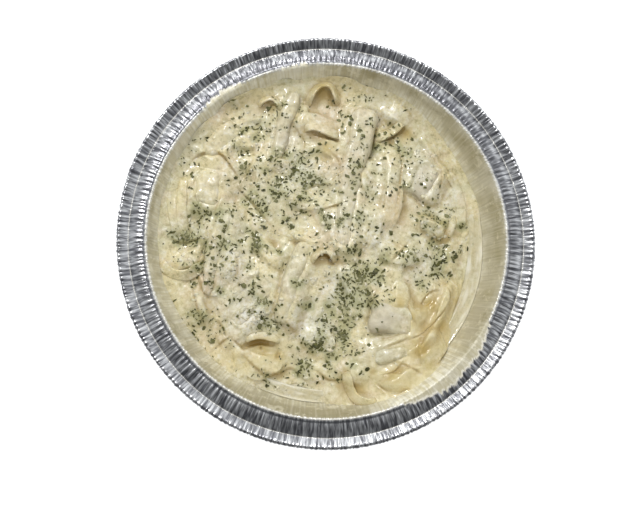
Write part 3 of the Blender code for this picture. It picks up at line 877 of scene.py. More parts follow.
# %% Noodles that show, under sauce
# Points in the photograph's pixels, then width, lift, arch (mm) and tilt (degrees).
SHOWN = (
    (((336, 82), (350, 79), (364, 84), (376, 95)), 8.4, 0.2, 0.4, 0),      # lobe right of the arch
    (((302, 130), (300, 114), (304, 98)), 7.0, 0.2, 0.5, 0),
    (((262, 140), (238, 138), (216, 136), (198, 140)), 9.0, 0.5, 0.8, 0),  # upper left fold
    (((272, 112), (250, 112), (226, 122), (204, 134)), 8.6, 0.4, 0.8, 0),
    (((196, 168), (212, 162), (228, 174), (234, 196)), 9.0, 0.2, 0.5, 0),
    (((190, 172), (184, 190), (182, 212), (184, 232)), 7.8, 0.3, 0.5, 0),  # striped, down the left
    (((171, 196), (168, 216), (173, 236)), 6.0, 0.0, 0.3, 0),
    (((304, 118), (320, 122), (338, 131)), 8.0, 0.2, 0.7, 0),              # lip over the long slit
    (((318, 148), (332, 148), (346, 158)), 8.0, 0.0, 0.3, 0),
    (((350, 158), (338, 170), (318, 184)), 9.0, 0.2, 0.6, 0),
    (((316, 220), (334, 214), (352, 210)), 8.0, 0.1, 0.5, 0),
    (((380, 114), (396, 114), (412, 118)), 8.0, 0.3, 0.6, 0),              # over the golden corner
    (((384, 100), (402, 108), (418, 120), (428, 138)), 6.5, 0.2, 0.5, 0),
    (((428, 128), (433, 146), (432, 164)), 6.5, 0.3, 0.6, 0),
    (((392, 146), (394, 172), (394, 200), (388, 228)), 8.4, 0.0, 0.3, 0),  # right of the long strip
    (((452, 156), (459, 178), (462, 200), (462, 222)), 7.0, 0.1, 0.3, 0),
    (((418, 216), (430, 226), (438, 238)), 7.6, 0.4, 0.9, 0),              # V fold on the right
    (((442, 240), (448, 228), (452, 212)), 7.0, 0.1, 0.5, 0),
    (((458, 240), (452, 258), (446, 276)), 6.5, 0.0, 0.3, 0),
    (((164, 252), (178, 258), (192, 258), (204, 248)), 8.0, 0.5, 0.9, 0),  # over the crescent
    (((198, 266), (203, 280), (209, 296)), 6.0, 0.5, 0.5, 0),
    (((192, 288), (197, 306), (206, 328)), 6.5, 0.2, 0.4, 0),
    (((175, 286), (182, 308), (196, 332)), 7.0, 0.1, 0.3, 0),
    (((208, 342), (220, 336), (236, 330), (250, 332)), 8.0, 0.4, 0.7, 0),  # above the big loop
    (((212, 352), (226, 352), (240, 356)), 8.0, 0.2, 0.4, 0),
    (((296, 366), (312, 372), (330, 378)), 7.5, 0.1, 0.4, 0),
    (((244, 372), (262, 382), (284, 388)), 7.0, 0.0, 0.3, 0),
    (((344, 262), (352, 280), (358, 300), (352, 322)), 8.4, 0.2, 0.6, 0),
    (((300, 332), (318, 342), (330, 360)), 8.0, 0.1, 0.5, 0),
    (((376, 246), (396, 256), (420, 258)), 8.0, 0.1, 0.5, 0),
    (((250, 240), (268, 252), (280, 268)), 7.0, 0.1, 0.5, 0),
    (((372, 206), (374, 226), (366, 248)), 7.5, 0.1, 0.5, 0),
    (((222, 236), (232, 256), (236, 280)), 7.5, 0.1, 0.5, 0),
    (((262, 300), (246, 316), (228, 322)), 7.5, 0.1, 0.4, 0),
    (((330, 196), (316, 202), (300, 200), (286, 190)), 7.6, 0.1, 0.5, 0),
    (((400, 280), (403, 297), (402, 315)), 6.6, 0.6, 0.3, 0),              # bare ones, near right
    (((438, 280), (441, 297), (434, 311), (423, 322), (408, 332)), 7.0, 0.8, 0.3, 0),
    (((454, 280), (459, 300), (453, 317), (441, 330), (427, 339), (410, 348)), 7.2, 1.0, 0.2, 0),
    (((442, 340), (428, 350), (414, 358), (400, 364)), 7.8, 0.7, 0.3, 0),
    (((456, 345), (443, 364), (427, 377), (408, 386), (394, 390)), 7.8, 0.4, 0.2, 0),
    (((370, 386), (384, 380), (396, 380), (409, 387)), 6.4, 0.8, 0.3, 0),
    (((380, 392), (396, 397), (412, 395), (428, 385)), 6.4, 0.4, 0.2, 0),
    (((352, 366), (358, 378), (360, 392)), 6.6, 0.6, 0.3, 0),
    (((236, 350), (250, 361), (268, 366), (284, 358)), 9.0, 0.9, 0.5, 0),  # front of the big loop
)


def kept_inside(points, margin):
    """Plan places of pixels, drawn in where they pass the edge of the heap less the margin."""
    places = np.array([on_heap(*point) for point in points])
    reach, angle = polar(places)
    return places * np.minimum(1.0, (heap_radius(angle) - margin) / reach)[:, None]


shown_draw = random.Random(8)
for points, width, lift, arch, tilt in SHOWN:
    pour_in(strands, lay_noodle(kept_inside(points, width / 2 + 0.5), shown_draw, width=width,
                                lift=lift, arch=arch, tilt=tilt, ruffle=0.25))
print("noodles that show:", len(SHOWN), "ground now", round(float(ground.max()), 1), "mm")

# %% [markdown]
# ## The sauce that joins the noodles
#
# In the pan the noodles are not clean bands: thick cream sauce fills the gaps and rounds every edge.
# The body of the heap and all the bands are therefore joined by a voxel remesh into one skin. It is
# swollen by a hair, remeshed again and drawn back, which closes the narrow gaps the way sauce does.

# %% Body of the heap
CORE_FLOOR, CORE_STEPS = 23.5, 120
core_rings = [(share * HEAP_RADIUS, HEAP_CREST) for share in np.linspace(0.0, 1.0, 30)]
core_profile = core_rings + [(HEAP_RADIUS, 27.0), (HEAP_RADIUS - 1.5, CORE_FLOOR), (0.0, CORE_FLOOR)]
body = turned(core_profile, CORE_STEPS, 0.02)
bmesh.ops.recalc_face_normals(body, faces=body.faces)
for vertex in body.verts:
    x, y, height = vertex.co
    if height < CORE_FLOOR + 1:
        continue
    scale = float(heap_radius(math.atan2(y, x))) / HEAP_RADIUS
    x, y = x * scale, y * scale
    top = float(heap_height(x, y)) - CORE_DROP * min(1.0, 0.35 + (1 - math.hypot(x, y) / 76) * 5)
    vertex.co = (x, y, top if height > 30 else min(27.5, top - 0.6))
print("body of the heap:", len(body.faces), "faces")


# %% Remesh
VOXEL = 0.57


def remeshed(name, shell, voxel, rounds=0):
    """One closed skin round everything in a bmesh, in millimetres."""
    holder = new_object(name, shell)
    skin = holder.modifiers.new("skin", "REMESH")
    skin.mode = "VOXEL"
    skin.voxel_size = voxel
    skin.adaptivity = 0.0
    if rounds:
        soften = holder.modifiers.new("soften", "SMOOTH")
        soften.factor, soften.iterations = 0.5, rounds
    graph = bpy.context.evaluated_depsgraph_get()
    mesh = bpy.data.meshes.new_from_object(holder.evaluated_get(graph))
    bpy.data.objects.remove(holder)
    result = bmesh.new()
    result.from_mesh(mesh)
    bpy.data.meshes.remove(mesh)
    return result


def drop_scraps(shell):
    """Keep the largest connected part of a bmesh."""
    unseen, parts = set(shell.verts), []
    while unseen:
        stack = [unseen.pop()]
        part = list(stack)
        while stack:
            for edge in stack.pop().link_edges:
                for vertex in edge.verts:
                    if vertex in unseen:
                        unseen.discard(vertex)
                        part.append(vertex)
                        stack.append(vertex)
        parts.append(part)
    parts.sort(key=len)
    bmesh.ops.delete(shell, geom=[vertex for part in parts[:-1] for vertex in part],
                     context="VERTS")


def swell(shell, distance):
    """Move each corner along its normal."""
    for vertex, normal in [(vertex, vertex.normal.copy()) for vertex in shell.verts]:
        vertex.co += normal * distance


print("voxels of", VOXEL, "mm")

# %% One skin, swollen and drawn back
SWOLLEN, DRAWN_BACK = 0.55, 0.40
pour_in(body, strands)
coat = remeshed("coat", body, VOXEL, rounds=2)
drop_scraps(coat)
coat.normal_update()
swell(coat, SWOLLEN)
coat = remeshed("coat", coat, VOXEL, rounds=1)
coat.normal_update()
swell(coat, -DRAWN_BACK)
bmesh.ops.smooth_vert(coat, verts=coat.verts, factor=0.5, use_axis_x=True, use_axis_y=True,
                      use_axis_z=True)
print("coat:", len(coat.verts), "corners")

# %% Cut the skin off below and let it down to the pan's floor
COAT_FLOOR = 24.6
cut = bmesh.ops.bisect_plane(coat, geom=coat.verts[:] + coat.edges[:] + coat.faces[:],
                             plane_co=(0, 0, COAT_FLOOR), plane_no=(0, 0, 1), clear_inner=True)
rim_edges = [item for item in cut["geom_cut"] if isinstance(item, bmesh.types.BMEdge)]
WELL_FLOOR, WELL_SHARE = 3.0, 0.84       # the noodles fill the pan down to its floor
lowered = bmesh.ops.extrude_edge_only(coat, edges=rim_edges)["geom"]
for vertex in lowered:
    if isinstance(vertex, bmesh.types.BMVert):
        vertex.co = (vertex.co.x * WELL_SHARE, vertex.co.y * WELL_SHARE, WELL_FLOOR)
bmesh.ops.contextual_create(coat, geom=[item for item in lowered
                                        if isinstance(item, bmesh.types.BMEdge)])
bmesh.ops.recalc_face_normals(coat, faces=coat.faces)
drop_scraps(coat)
print("coat:", len(coat.verts), "corners")


# %% Relax
def relax(shell, corners, share, rounds):
    """Draw each corner towards the middle of its neighbours, more where its share is higher."""
    shell.verts.index_update()
    ends = np.array([[vertex.index for vertex in edge.verts] for edge in shell.edges])
    first, second = np.concatenate([ends, ends[:, ::-1]]).T
    count = np.bincount(first, minlength=len(corners))[:, None]
    for _ in range(rounds):
        middle = np.stack([np.bincount(first, weights=corners[second, axis],
                                       minlength=len(corners)) for axis in range(3)], axis=1)
        corners += share[:, None] * (middle / count - corners)
    return corners


def spots(table, corners):
    """Strength from 0 to 1 at each corner: soft round spots given in the photograph's pixels."""
    strength = np.zeros(len(corners))
    for (across, down), reach, peak in table:
        x, y = on_heap(across, down)
        away = np.hypot(corners[:, 0] - x, corners[:, 1] - y) / reach
        strength = np.maximum(strength, peak * np.exp(-away ** 2))
    return strength


print("edges in the coat:", len(coat.edges))

# %% [markdown]
# ## Shaping the coat after the photograph
#
# Some edges are landmarks: the fold across the upper left, the V on the right, the cracks beside the
# chicken. Each is a line in the photograph's pixels. The skin rises to one side of it and drops on the
# other, as where one noodle lies over the next. The hollows are pits along a line, narrow and deep.

# %% Folds and pits
# Points, rise of the left side and drop of the right side in millimetres, seen along the line.
FOLDS = (
    (((192, 160), (200, 155), (212, 152.5), (223, 156), (232, 168), (238, 176)), 1.1, 1.0),
    (((313, 130), (320, 133), (330, 136), (339, 139)), 1.0, 1.3),
    (((350, 163), (343, 170), (332, 180)), 0.9, 0.7),
    (((324, 210), (336, 206), (350, 204)), 0.8, 0.9),
    (((377, 141), (390, 135), (404, 127)), 1.0, 1.2),
    (((240, 190), (250, 200), (262, 215), (270, 224)), 0.8, 0.8),
    (((426, 226), (435, 230), (440, 239)), 0.9, 1.0),
    (((440, 239), (445, 231), (450, 220)), 0.5, 0.8),
    (((164, 267), (176, 272), (191, 270), (201, 264)), 1.3, 1.6),
    (((205, 245), (199, 262), (198, 278), (203, 290), (208, 297)), 0.6, 1.2),
    (((208, 297), (212, 290), (215, 282)), 0.5, 0.8),
    (((204, 326), (198, 310), (193, 292)), 0.6, 0.9),
    (((212, 350), (222, 342), (231, 337)), 0.8, 0.8),
    (((230, 337), (240, 345), (248, 348)), 0.8, 0.6),
    (((168, 237), (181, 242), (198, 238)), 0.9, 0.8),
    (((370, 87), (360, 80), (350, 76)), 0.8, 1.0),
    (((414, 122), (402, 113), (388, 104)), 0.7, 0.9),
    (((244, 356), (256, 368), (268, 375), (280, 373), (291, 368), (300, 376)), 0.9, 1.1),
    (((335, 352), (336, 340), (330, 330)), 0.5, 0.6),
    (((396, 140), (402, 160), (400, 185), (396, 215)), 0.6, 0.7),
    (((428, 150), (440, 170), (440, 195)), 0.6, 0.7),
    (((392, 260), (400, 252), (407, 243)), 0.6, 0.8),
    (((318, 372), (330, 380), (345, 378)), 0.7, 0.9),
    (((235, 252), (238, 268), (232, 284)), 0.4, 0.6),
    (((302, 190), (318, 184), (334, 186)), 0.4, 0.5),
    (((410, 339), (421, 334), (431.5, 324.7), (440, 315), (448.5, 304)), 0.5, 0.9),
    (((435, 338), (447, 338), (454.5, 335.6)), 0.5, 0.7),
    (((449, 304), (450, 294), (446, 286)), 0.4, 0.7),
    (((385, 347), (397, 343), (408, 338)), 0.4, 0.6),
    (((384, 374), (395, 371), (403, 362)), 0.5, 0.8),
    (((386, 389), (396, 391), (405, 387), (412, 392)), 0.6, 0.9),
    (((420, 312), (423, 301), (431, 292), (441, 290)), 0.5, 0.7),
    (((434, 352), (444, 345), (452, 336)), 0.4, 0.7),
    (((398, 362), (408, 366), (420, 372), (432, 374)), 0.5, 0.7),
    (((412, 296), (408, 306), (410, 316), (416, 324)), 0.5, 0.7),
    (((350, 388), (358, 396), (368, 399), (378, 397)), 0.4, 0.6),
    (((214, 318), (222, 326), (226, 336)), 0.4, 0.7),
    (((296, 128), (304, 140), (303, 155)), 0.4, 0.6),
    (((352, 128), (350, 145), (351, 168)), 0.3, 0.7),
    (((362, 160), (360, 178), (363, 195)), 0.4, 0.7),
    (((330, 152), (338, 160), (340, 172)), 0.4, 0.6),
    (((286, 120), (282, 140), (276, 158)), 0.3, 0.6),
    (((253, 160), (247, 172), (240, 182)), 0.4, 0.6),
    (((222, 196), (216, 208), (214, 222)), 0.4, 0.6),
    (((284, 262), (279, 285), (274, 305)), 0.3, 0.6),
    (((373, 337), (388, 338), (404, 333)), 0.3, 0.5),
)
# Points, half width and depth in millimetres.
PITS = (
    (((315, 94), (320, 88), (327, 88), (332, 94), (334, 101)), 1.6, 1.4),   # arch, far side
    (((272, 103), (277, 104), (279, 109)), 0.9, 1.6),
    (((315, 133), (326, 136), (338, 140)), 0.6, 1.4),                       # long slit
    (((314, 257), (321, 253), (329, 255), (333, 262)), 1.2, 2.6),           # arch in the middle
    (((244, 347), (250, 343.5), (260, 341), (272, 343)), 1.5, 3.4),         # big loop
    (((260, 346), (262, 349)), 0.6, 1.4),
    (((279, 351), (277, 358)), 0.9, 1.2),
    (((377, 384), (382, 388), (387, 391)), 0.6, 1.4),                       # dark slit
    (((424, 309), (433, 301), (436, 294)), 1.6, 0.9),                       # golden pockets
    (((418, 331), (427, 323), (430, 318)), 1.6, 0.8),
    (((414, 357), (424, 350), (432, 341)), 1.8, 0.9),
    (((165, 268), (175, 272.5), (190, 270.5)), 0.9, 2.2),                   # crescent
    (((378, 141), (391, 136), (404, 128)), 0.7, 1.4),
    (((168, 237.5), (181, 242.5), (197, 239)), 0.5, 1.0),
    (((199, 264), (199, 278), (207, 297)), 0.5, 1.1),
    (((352, 77), (362, 81), (370, 87)), 0.8, 1.4),
    (((193, 160), (203, 155), (216, 152.5)), 0.5, 0.9),
    (((376, 124), (372, 142), (367, 156)), 1.3, 1.6),                       # shade by the long strip
)


def line_distance(points, corners, reach):
    """Signed distance in plan from each corner near a line, and where along it (0 to 1)."""
    line = smooth_line([on_heap(*point) for point in points], 0.8)
    low, high = line.min(axis=0) - reach, line.max(axis=0) + reach
    near = np.flatnonzero(np.all((corners[:, :2] > low) & (corners[:, :2] < high), axis=1))
    gap = corners[near, None, :2] - line[None]
    span = np.linalg.norm(gap, axis=2)
    best = span.argmin(axis=1)
    slope = np.gradient(line, axis=0)[best]
    offset = gap[np.arange(len(near)), best]
    side = np.sign(slope[:, 0] * offset[:, 1] - slope[:, 1] * offset[:, 0])
    distance = span[np.arange(len(near)), best]
    keep = distance < reach
    return near[keep], distance[keep], side[keep], best[keep] / (len(line) - 1)


def sculpt(corners, painted_hollow_shade):
    """Move the corners of a skin by the folds and pits, and note where they get painted shade."""
    for points, rise, drop in FOLDS:
        near, distance, side, share = line_distance(points, corners, 7.0)
        strength = np.sqrt(np.clip(np.sin(np.pi * np.clip(share, 0.04, 0.96)), 0, 1))
        up = rise * np.exp(-distance / 2.6) * np.minimum(1.0, 0.35 + distance / 0.8)
        down = drop * np.exp(-distance / 1.1)
        corners[near, 2] += strength * np.where(side > 0, up, -down)
        crack = np.exp(-(distance / 0.6) ** 2) * strength * min(1.0, drop)
        corners[near, 2] -= 0.5 * crack
        # painted shade along the crack
        painted_hollow_shade[near] = np.maximum(painted_hollow_shade[near], 0.8 * crack)
    for points, half, depth in PITS:
        near, distance, side, share = line_distance(points, corners, half * 3)
        strength = np.sqrt(np.clip(np.sin(np.pi * np.clip(share, 0.05, 0.95)), 0, 1))
        well = np.exp(-(distance / half) ** 4) * strength
        corners[near, 2] -= depth * well
        painted_hollow_shade[near] = np.maximum(painted_hollow_shade[near], well * min(1.0, depth / 2.2))


print("folds:", len(FOLDS), "pits:", len(PITS))

# %% [markdown]
# ## The cut chicken
#
# Breast meat, cooked and cut into strips and chunks, lies pressed into the top of the noodles. The
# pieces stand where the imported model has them, but the two chunks at the lower right were fitted to
# the photograph, by up to a millimetre and a half. A piece starts as a cube that is cut along its
# length, drawn out from tail to head and bevelled, and skinned finely enough to take the grain of the
# meat. Its ends and edges are then made round and uneven.

# %% Chicken places
# Middle x, y, heading in degrees, length, width at tail and head, rise over the heap (mm).
CHICKEN = {
    "chicken_long_strip": (13.5, 30.0, 79, 69.0, 8.5, 14.0, 2.1),
    "chicken_upper_strip": (-19.5, 54.5, 75, 35.0, 7.6, 8.4, 1.7),
    "chicken_lower_strip": (-15.5, -20.5, 73, 40.0, 8.6, 9.6, 1.9),
    "chicken_left_strip": (-51.0, -6.5, 78, 40.0, 6.6, 9.2, 1.6),
    "chicken_chunk": (29.3, -37.3, -12, 20.0, 16.4, 14.4, 1.9),
    "chicken_small_chunk": (30.0, -53.5, 8, 16.0, 9.0, 7.6, 0.5),
    "chicken_right_piece": (46.5, 29.0, 62, 17.0, 11.0, 13.0, 1.7),
    "chicken_pale_piece": (-35.5, -29.0, 52, 25.0, 12.0, 14.0, 1.4),
    "chicken_corner_slice": (-49.5, 47.5, 44, 21.0, 11.0, 11.0, 1.6),
    "chicken_side_piece": (-55.2, 23.8, 83, 16.5, 12.2, 13.8, 1.8),
}
CHICKEN_THICKNESS, CHICKEN_EDGE = 6.8, 2.2
CHICKEN_VOXEL, CHICKEN_SOFTENING = 0.62, 12
BOW = 0.03                   # how far a piece bows sideways, as a share of its length
UNEVEN_EDGE, UNEVEN_END, ROUND_END = 0.26, 1.5, 0.30


def chicken_shell(place):
    """The cut piece in millimetres: a tapered, slightly bowed box with bevelled edges."""
    x, y, heading, length, tail, head, rise = place
    block = bmesh.new()
    bmesh.ops.create_cube(block, size=1.0)
    long_edges = [edge for edge in block.edges
                  if abs(edge.verts[0].co.x - edge.verts[1].co.x) > 0.5]
    bmesh.ops.subdivide_edges(block, edges=long_edges, cuts=max(2, round(length / 4)),
                              use_grid_fill=True)
    turn = math.radians(heading)
    for vertex in block.verts:
        share = vertex.co.x + 0.5
        width = tail + (head - tail) * share
        along = vertex.co.x * length
        across = vertex.co.y * width * (0.86 if vertex.co.z > 0 else 1.0)
        across += BOW * length * math.sin(math.pi * share)
        middle = (x + along * math.cos(turn), y + along * math.sin(turn))
        crown = float(heap_height(*middle)) + rise
        foot = max(crown - CHICKEN_THICKNESS, SAUCE_LEVEL + 2.0)
        vertex.co = (middle[0] - across * math.sin(turn), middle[1] + across * math.cos(turn),
                     crown if vertex.co.z > 0 else foot)
    bmesh.ops.bevel(block, geom=block.edges[:], offset=CHICKEN_EDGE, segments=2, affect="EDGES",
                    profile=0.5, material=-1, clamp_overlap=True)
    bmesh.ops.recalc_face_normals(block, faces=block.faces)
    return block


def cloud(points, size, seed):
    """Soft noise from -1 to 1 for each point; its features are about size millimetres across."""
    offset = Vector((seed * 17.3, seed * 5.1, seed * 9.7))
    return np.array([noise.noise(Vector(point) / size + offset) for point in points])


def chicken_frame(place, corners):
    """Corners as the piece has them: along, across, gap outside, share along, half width, end."""
    x, y, heading, length, tail, head, rise = place
    turn = math.radians(heading)
    gap_x, gap_y = corners[:, 0] - x, corners[:, 1] - y
    along = gap_x * math.cos(turn) + gap_y * math.sin(turn)
    across = gap_y * math.cos(turn) - gap_x * math.sin(turn)
    share = np.clip(along / length + 0.5, 0, 1)
    across = across - BOW * length * np.sin(np.pi * share)
    edge_line = np.stack([along, np.sign(across) * 9, 0 * along + heading], axis=1)
    half = (tail + (head - tail) * share) / 2 * (1 + UNEVEN_EDGE * cloud(edge_line, 7.0, 5))
    near_end = np.clip((length / 2 - np.abs(along)) / min(6.0, length / 4), 0, 1)
    half *= 1 - ROUND_END * (1 - near_end) ** 2
    end_line = np.stack([np.sign(along) * 9, across, 0 * along + heading], axis=1)
    end = length / 2 + UNEVEN_END * cloud(end_line, 6.0, 6)
    outside = np.maximum(np.abs(along) - end, np.abs(across) - half)
    return along, across, outside, share, half, end


print("chicken pieces to make:", len(CHICKEN))

# %% How the tops fall to their edges
# How far the top falls to each edge, mm: left and right side, seen from tail to head, each at the
# tail and at the head, then the two ends. Up to 1 the sauce hides the edge, from 1.5 it is a cut.
SHOULDERS = {
    "chicken_long_strip": (0.8, 0.9, 0.6, 2.2, 0.5, 1.5),
    "chicken_upper_strip": (0.5, 0.6, 1.5, 1.9, 0.4, 1.2),
    "chicken_lower_strip": (2.2, 1.6, 0.6, 0.6, 1.9, 0.5),
    "chicken_left_strip": (1.7, 0.8, 0.7, 0.5, 1.3, 0.4),
    "chicken_chunk": (0.9, 0.6, 1.7, 0.8, 2.6, 0.6),
    "chicken_small_chunk": (0.6, 0.6, 1.2, 0.8, 0.7, 0.7),
    "chicken_right_piece": (0.6, 0.6, 0.8, 0.6, 1.7, 0.6),
    "chicken_pale_piece": (0.5, 0.5, 0.6, 0.6, 1.1, 0.4),
    "chicken_corner_slice": (0.5, 0.5, 0.6, 0.6, 0.5, 0.6),
    "chicken_side_piece": (0.8, 0.8, 0.6, 0.6, 0.8, 1.2),
}
# How greyish white the meat shows through the sauce, 0 to 1.
LEAN = {"chicken_chunk": 0.75, "chicken_right_piece": 0.5, "chicken_long_strip": 0.3,
        "chicken_upper_strip": 0.3, "chicken_small_chunk": 0.1}
LEAN_FADES = {"chicken_chunk": 0.9}      # and how far that fades out towards the head


def shoulders(name, along, across, share, length):
    """How far the edge nearest to each corner falls below the middle line, along side and end."""
    left_tail, left_head, right_tail, right_head, tail, head = SHOULDERS[name]
    onward = np.clip((share - 0.45) / 0.3, 0, 1)
    leftness = np.clip(across / 2.0 * 0.5 + 0.5, 0, 1)
    side = ((left_tail + (left_head - left_tail) * onward) * leftness
            + (right_tail + (right_head - right_tail) * onward) * (1 - leftness))
    end = np.where(along > 0, head, tail)
    return side, end


print("deepest cut edge:", max(max(falls) for falls in SHOULDERS.values()), "mm")

# %% Make the chicken
chicken_pieces = {}
for number, (name, place) in enumerate(CHICKEN.items()):
    x, y, heading, length, tail, head, rise = place
    piece = remeshed(name, chicken_shell(place), CHICKEN_VOXEL, rounds=CHICKEN_SOFTENING)
    corners = corner_table(piece)
    along, across, outside, share, half, end = chicken_frame(place, corners)
    upward = np.array([vertex.normal.z for vertex in piece.verts])
    crown = corners[:, 2].max()
    level = np.clip((corners[:, 2] - (crown - CHICKEN_THICKNESS)) / CHICKEN_THICKNESS, 0, 1)
    straight = (tail + (head - tail) * share) / 2
    side = np.abs(across) / straight
    ends = np.abs(along) / (length / 2)
    fall_side, fall_end = shoulders(name, along, across, share, length)
    fall = (fall_side * np.clip(side, 0, 1.25) ** (2.0 + 2.0 * fall_side)
            + fall_end * np.clip(ends, 0, 1.1) ** max(2.6, length / 6))
    corners[:, 2] -= fall * level ** 1.5
    turn = math.radians(heading)
    widen = across * (half / straight - 1)
    lengthen = np.sign(along) * (end - length / 2) * np.clip(ends, 0, 1) ** 2
    corners[:, 0] += lengthen * math.cos(turn) - widen * math.sin(turn)
    corners[:, 1] += lengthen * math.sin(turn) + widen * math.cos(turn)
    grain_line = np.stack([along * 0.16, across * 1.1, corners[:, 2] * 0.5], axis=1)
    fibre = cloud(grain_line, 1.0, number)
    lumps = (cloud(corners, 8.0, number + 10) * 0.7 + cloud(corners, 4.0, number + 20) * 0.55
             + cloud(corners, 1.9, number + 40) * 0.22 + 0.10 * fibre)
    corners[:, 2] += lumps * level
    set_corners(piece, corners)
    to_metres(piece)
    made = new_object("cut_" + name, piece)
    # painted shade: the steep sides of each piece are marked to be darker
    set_attribute(made.data, "side_painted_shade", np.clip((0.75 - upward) / 0.6, 0, 1))
    set_attribute(made.data, "fibre", fibre * 0.5 + 0.5)
    fades = 1 - LEAN_FADES.get(name, 0.0) * np.clip((share - 0.35) / 0.5, 0, 1)
    fades = fades * np.clip(1.1 + 0.5 * cloud(corners, 5.0, 33), 0, 1.2)
    set_attribute(made.data, "lean", LEAN.get(name, 0.15) * fades)
    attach(made, "root")
    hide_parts(name)
    chicken_pieces[name] = made
print("chicken:", len(chicken_pieces), "pieces,",
      sum(triangle_count(piece) for piece in chicken_pieces.values()), "triangles")

# %% [markdown]
# ## Finish the coat
#
# Where the sauce hides the edge of a piece of chicken, it rises to it in a soft skirt. Where the edge
# is a clean cut, a narrow groove runs along it. Then the folds and pits go in, and a fine lumpiness
# over the whole top. Last the coat is drawn out to the wall, its edge a hair inside the foil, so that
# no dark gap shows. What each corner knows about its place is kept as attributes: how deep it lies,
# which sets a painted shade in the hollows, and how bare the noodles are there.

# %% Press in the chicken and sculpt
GROOVE_REACH = 1.3
SKIRT_REACH = 4.2            # how far the sauce runs up towards a piece, mm

# Where thick sauce blurs the noodles below: middle in pixels, reach in mm, strength.
THICK = (((290, 190), 26.0, 0.9), ((250, 150), 18.0, 0.8), ((330, 220), 16.0, 0.8),
         ((250, 270), 18.0, 0.8), ((300, 300), 20.0, 0.8), ((440, 240), 16.0, 0.7),
         ((410, 170), 14.0, 0.9), ((350, 330), 16.0, 0.7), ((230, 100), 14.0, 0.5),
         ((250, 390), 18.0, 0.7), ((300, 130), 12.0, 0.6), ((190, 260), 14.0, 0.5))
# Where hardly any sauce rounds them.
CRISP = (((428, 325), 20.0, 1.0), ((396, 380), 16.0, 1.0), ((325, 95), 9.0, 0.7),
         ((182, 210), 9.0, 0.8), ((262, 355), 12.0, 0.7))

corners = corner_table(coat)
on_top = corners[:, 2] > COAT_FLOOR + 1.5
softness = (0.35 + 0.65 * spots(THICK, corners)) * (1 - 0.85 * spots(CRISP, corners))
corners = relax(coat, corners, 0.6 * on_top * softness, 14)
painted_hollow_shade = np.zeros(len(corners))
covered = np.zeros(len(corners))
for number, (name, place) in enumerate(CHICKEN.items()):
    x, y, heading, length, tail, head, rise = place
    along, across, outside, share, half, end = chicken_frame(place, corners)
    covered = np.maximum(covered, np.clip(1 - outside / 2.0, 0, 1))
    near = np.flatnonzero((outside < 6.0) & on_top)
    along, across, gap, share, end = (values[near] for values in
                                      (along, across, outside, share, end))
    fall_side, fall_end = shoulders(name, along, across, share, length)
    at_end = np.clip((np.abs(along) - end + 1.5) / 2.0, 0, 1)
    fall = fall_side * (1 - at_end) + fall_end * at_end
    turn = math.radians(heading)
    crown = heap_height(x + along * math.cos(turn), y + along * math.sin(turn)) + rise
    ragged = cloud(corners[near] * (1, 1, 0), 4.0, number + 60)
    natural = corners[near, 2]
    cut = np.clip((fall - 0.9) / 0.8, 0, 1)                  # 0 hidden by sauce, 1 a clean edge
    # the sauce rises to a hidden edge in a skirt, and sinks in a groove along a cut one
    skirt = crown - fall + 0.15 - 0.4 * cut + 0.3 * ragged
    rises = np.clip(skirt - natural, 0, None) * np.exp(-(np.maximum(gap, 0) / SKIRT_REACH) ** 2)
    groove = 1.7 * cut * (0.8 + 0.6 * ragged) * np.exp(-(np.maximum(gap, 0) / GROOVE_REACH) ** 2)
    top = natural + rises * (1 - cut) - groove
    # inside the outline it stays under the top of the piece
    hidden = crown - fall * np.clip(1 + gap / 4.0, 0, 1) ** 2 - 0.8
    inside = np.clip(-gap - 0.3, 0, 1)
    top = top + (np.minimum(top, hidden) - top) * inside
    corners[near, 2] = np.where(gap < 4.0, np.minimum(top, crown - 0.3 - 0.3 * cut), top)
corners = relax(coat, corners, 0.5 * on_top, 2)
sculpt(corners, painted_hollow_shade)
lumps = 0.16 * cloud(corners, 2.2, 3) + 0.09 * cloud(corners, 1.1, 4) + 0.25 * cloud(corners, 7.0, 5)
corners[on_top, 2] += lumps[on_top]
print("hollow corners:", int((painted_hollow_shade > 0.5).sum()), "of", len(painted_hollow_shade))

# %% Close the gap to the wall
# Where the gap is narrow the coat reaches the wall. Its rounded edge aims past the foil's inner face
# and is held to a third of a millimetre within it, so that no dark gap shows.
EDGE_BAND = 3.5
AIM_PAST_WALL, HELD_PAST_WALL = 0.8, 0.3
reach, angle = polar(corners)
gap = gap_to_wall(angle)
apart = np.clip((gap - 4.8) / 2.0, 0, 1)            # 0 against the wall, 1 where sauce lies between
lowered_there = sunk_share(gap)
share = np.clip((reach - heap_radius(angle) + EDGE_BAND) / EDGE_BAND, 0, 1) * on_top * (1 - apart)
outward = reach + (gap + AIM_PAST_WALL) * share
rim_band = np.clip((reach - heap_radius(angle) + 9.0) / 9.0, 0, 1) * on_top
short = np.clip(heap_edge(angle) + 0.4 - corners[:, 2], 0, 4) * (1 - lowered_there)
corners[:, 2] += short * rim_band ** 1.5
shore = np.clip((heap_radius(angle) - reach) / 5.0, 0, 1) ** 0.8
low_shore = SAUCE_LEVEL + 0.5
tapered = low_shore + np.clip(corners[:, 2] - low_shore, 0, None) * shore
corners[:, 2] += np.where(on_top, (tapered - corners[:, 2]) * lowered_there, 0)
climb_up_wall = 1.2 + 2.6 * far_share(angle)
unevenly = 0.8 + 0.8 * cloud(corners, 9.0, 12)
corners[:, 2] += climb_up_wall * share ** 2 * (1 - lowered_there) * unevenly
wall_reach = wall_at(corners[:, 2]) + HELD_PAST_WALL
squeeze = np.minimum(outward, wall_reach) / np.maximum(reach, 1.0)
corners[:, :2] *= squeeze[:, None]
set_corners(coat, corners)
print("coat reaches out to", round(float(np.hypot(corners[:, 0], corners[:, 1]).max()), 1), "mm")

# %% Loose noodles on top
LOOP_VOXEL = 0.46
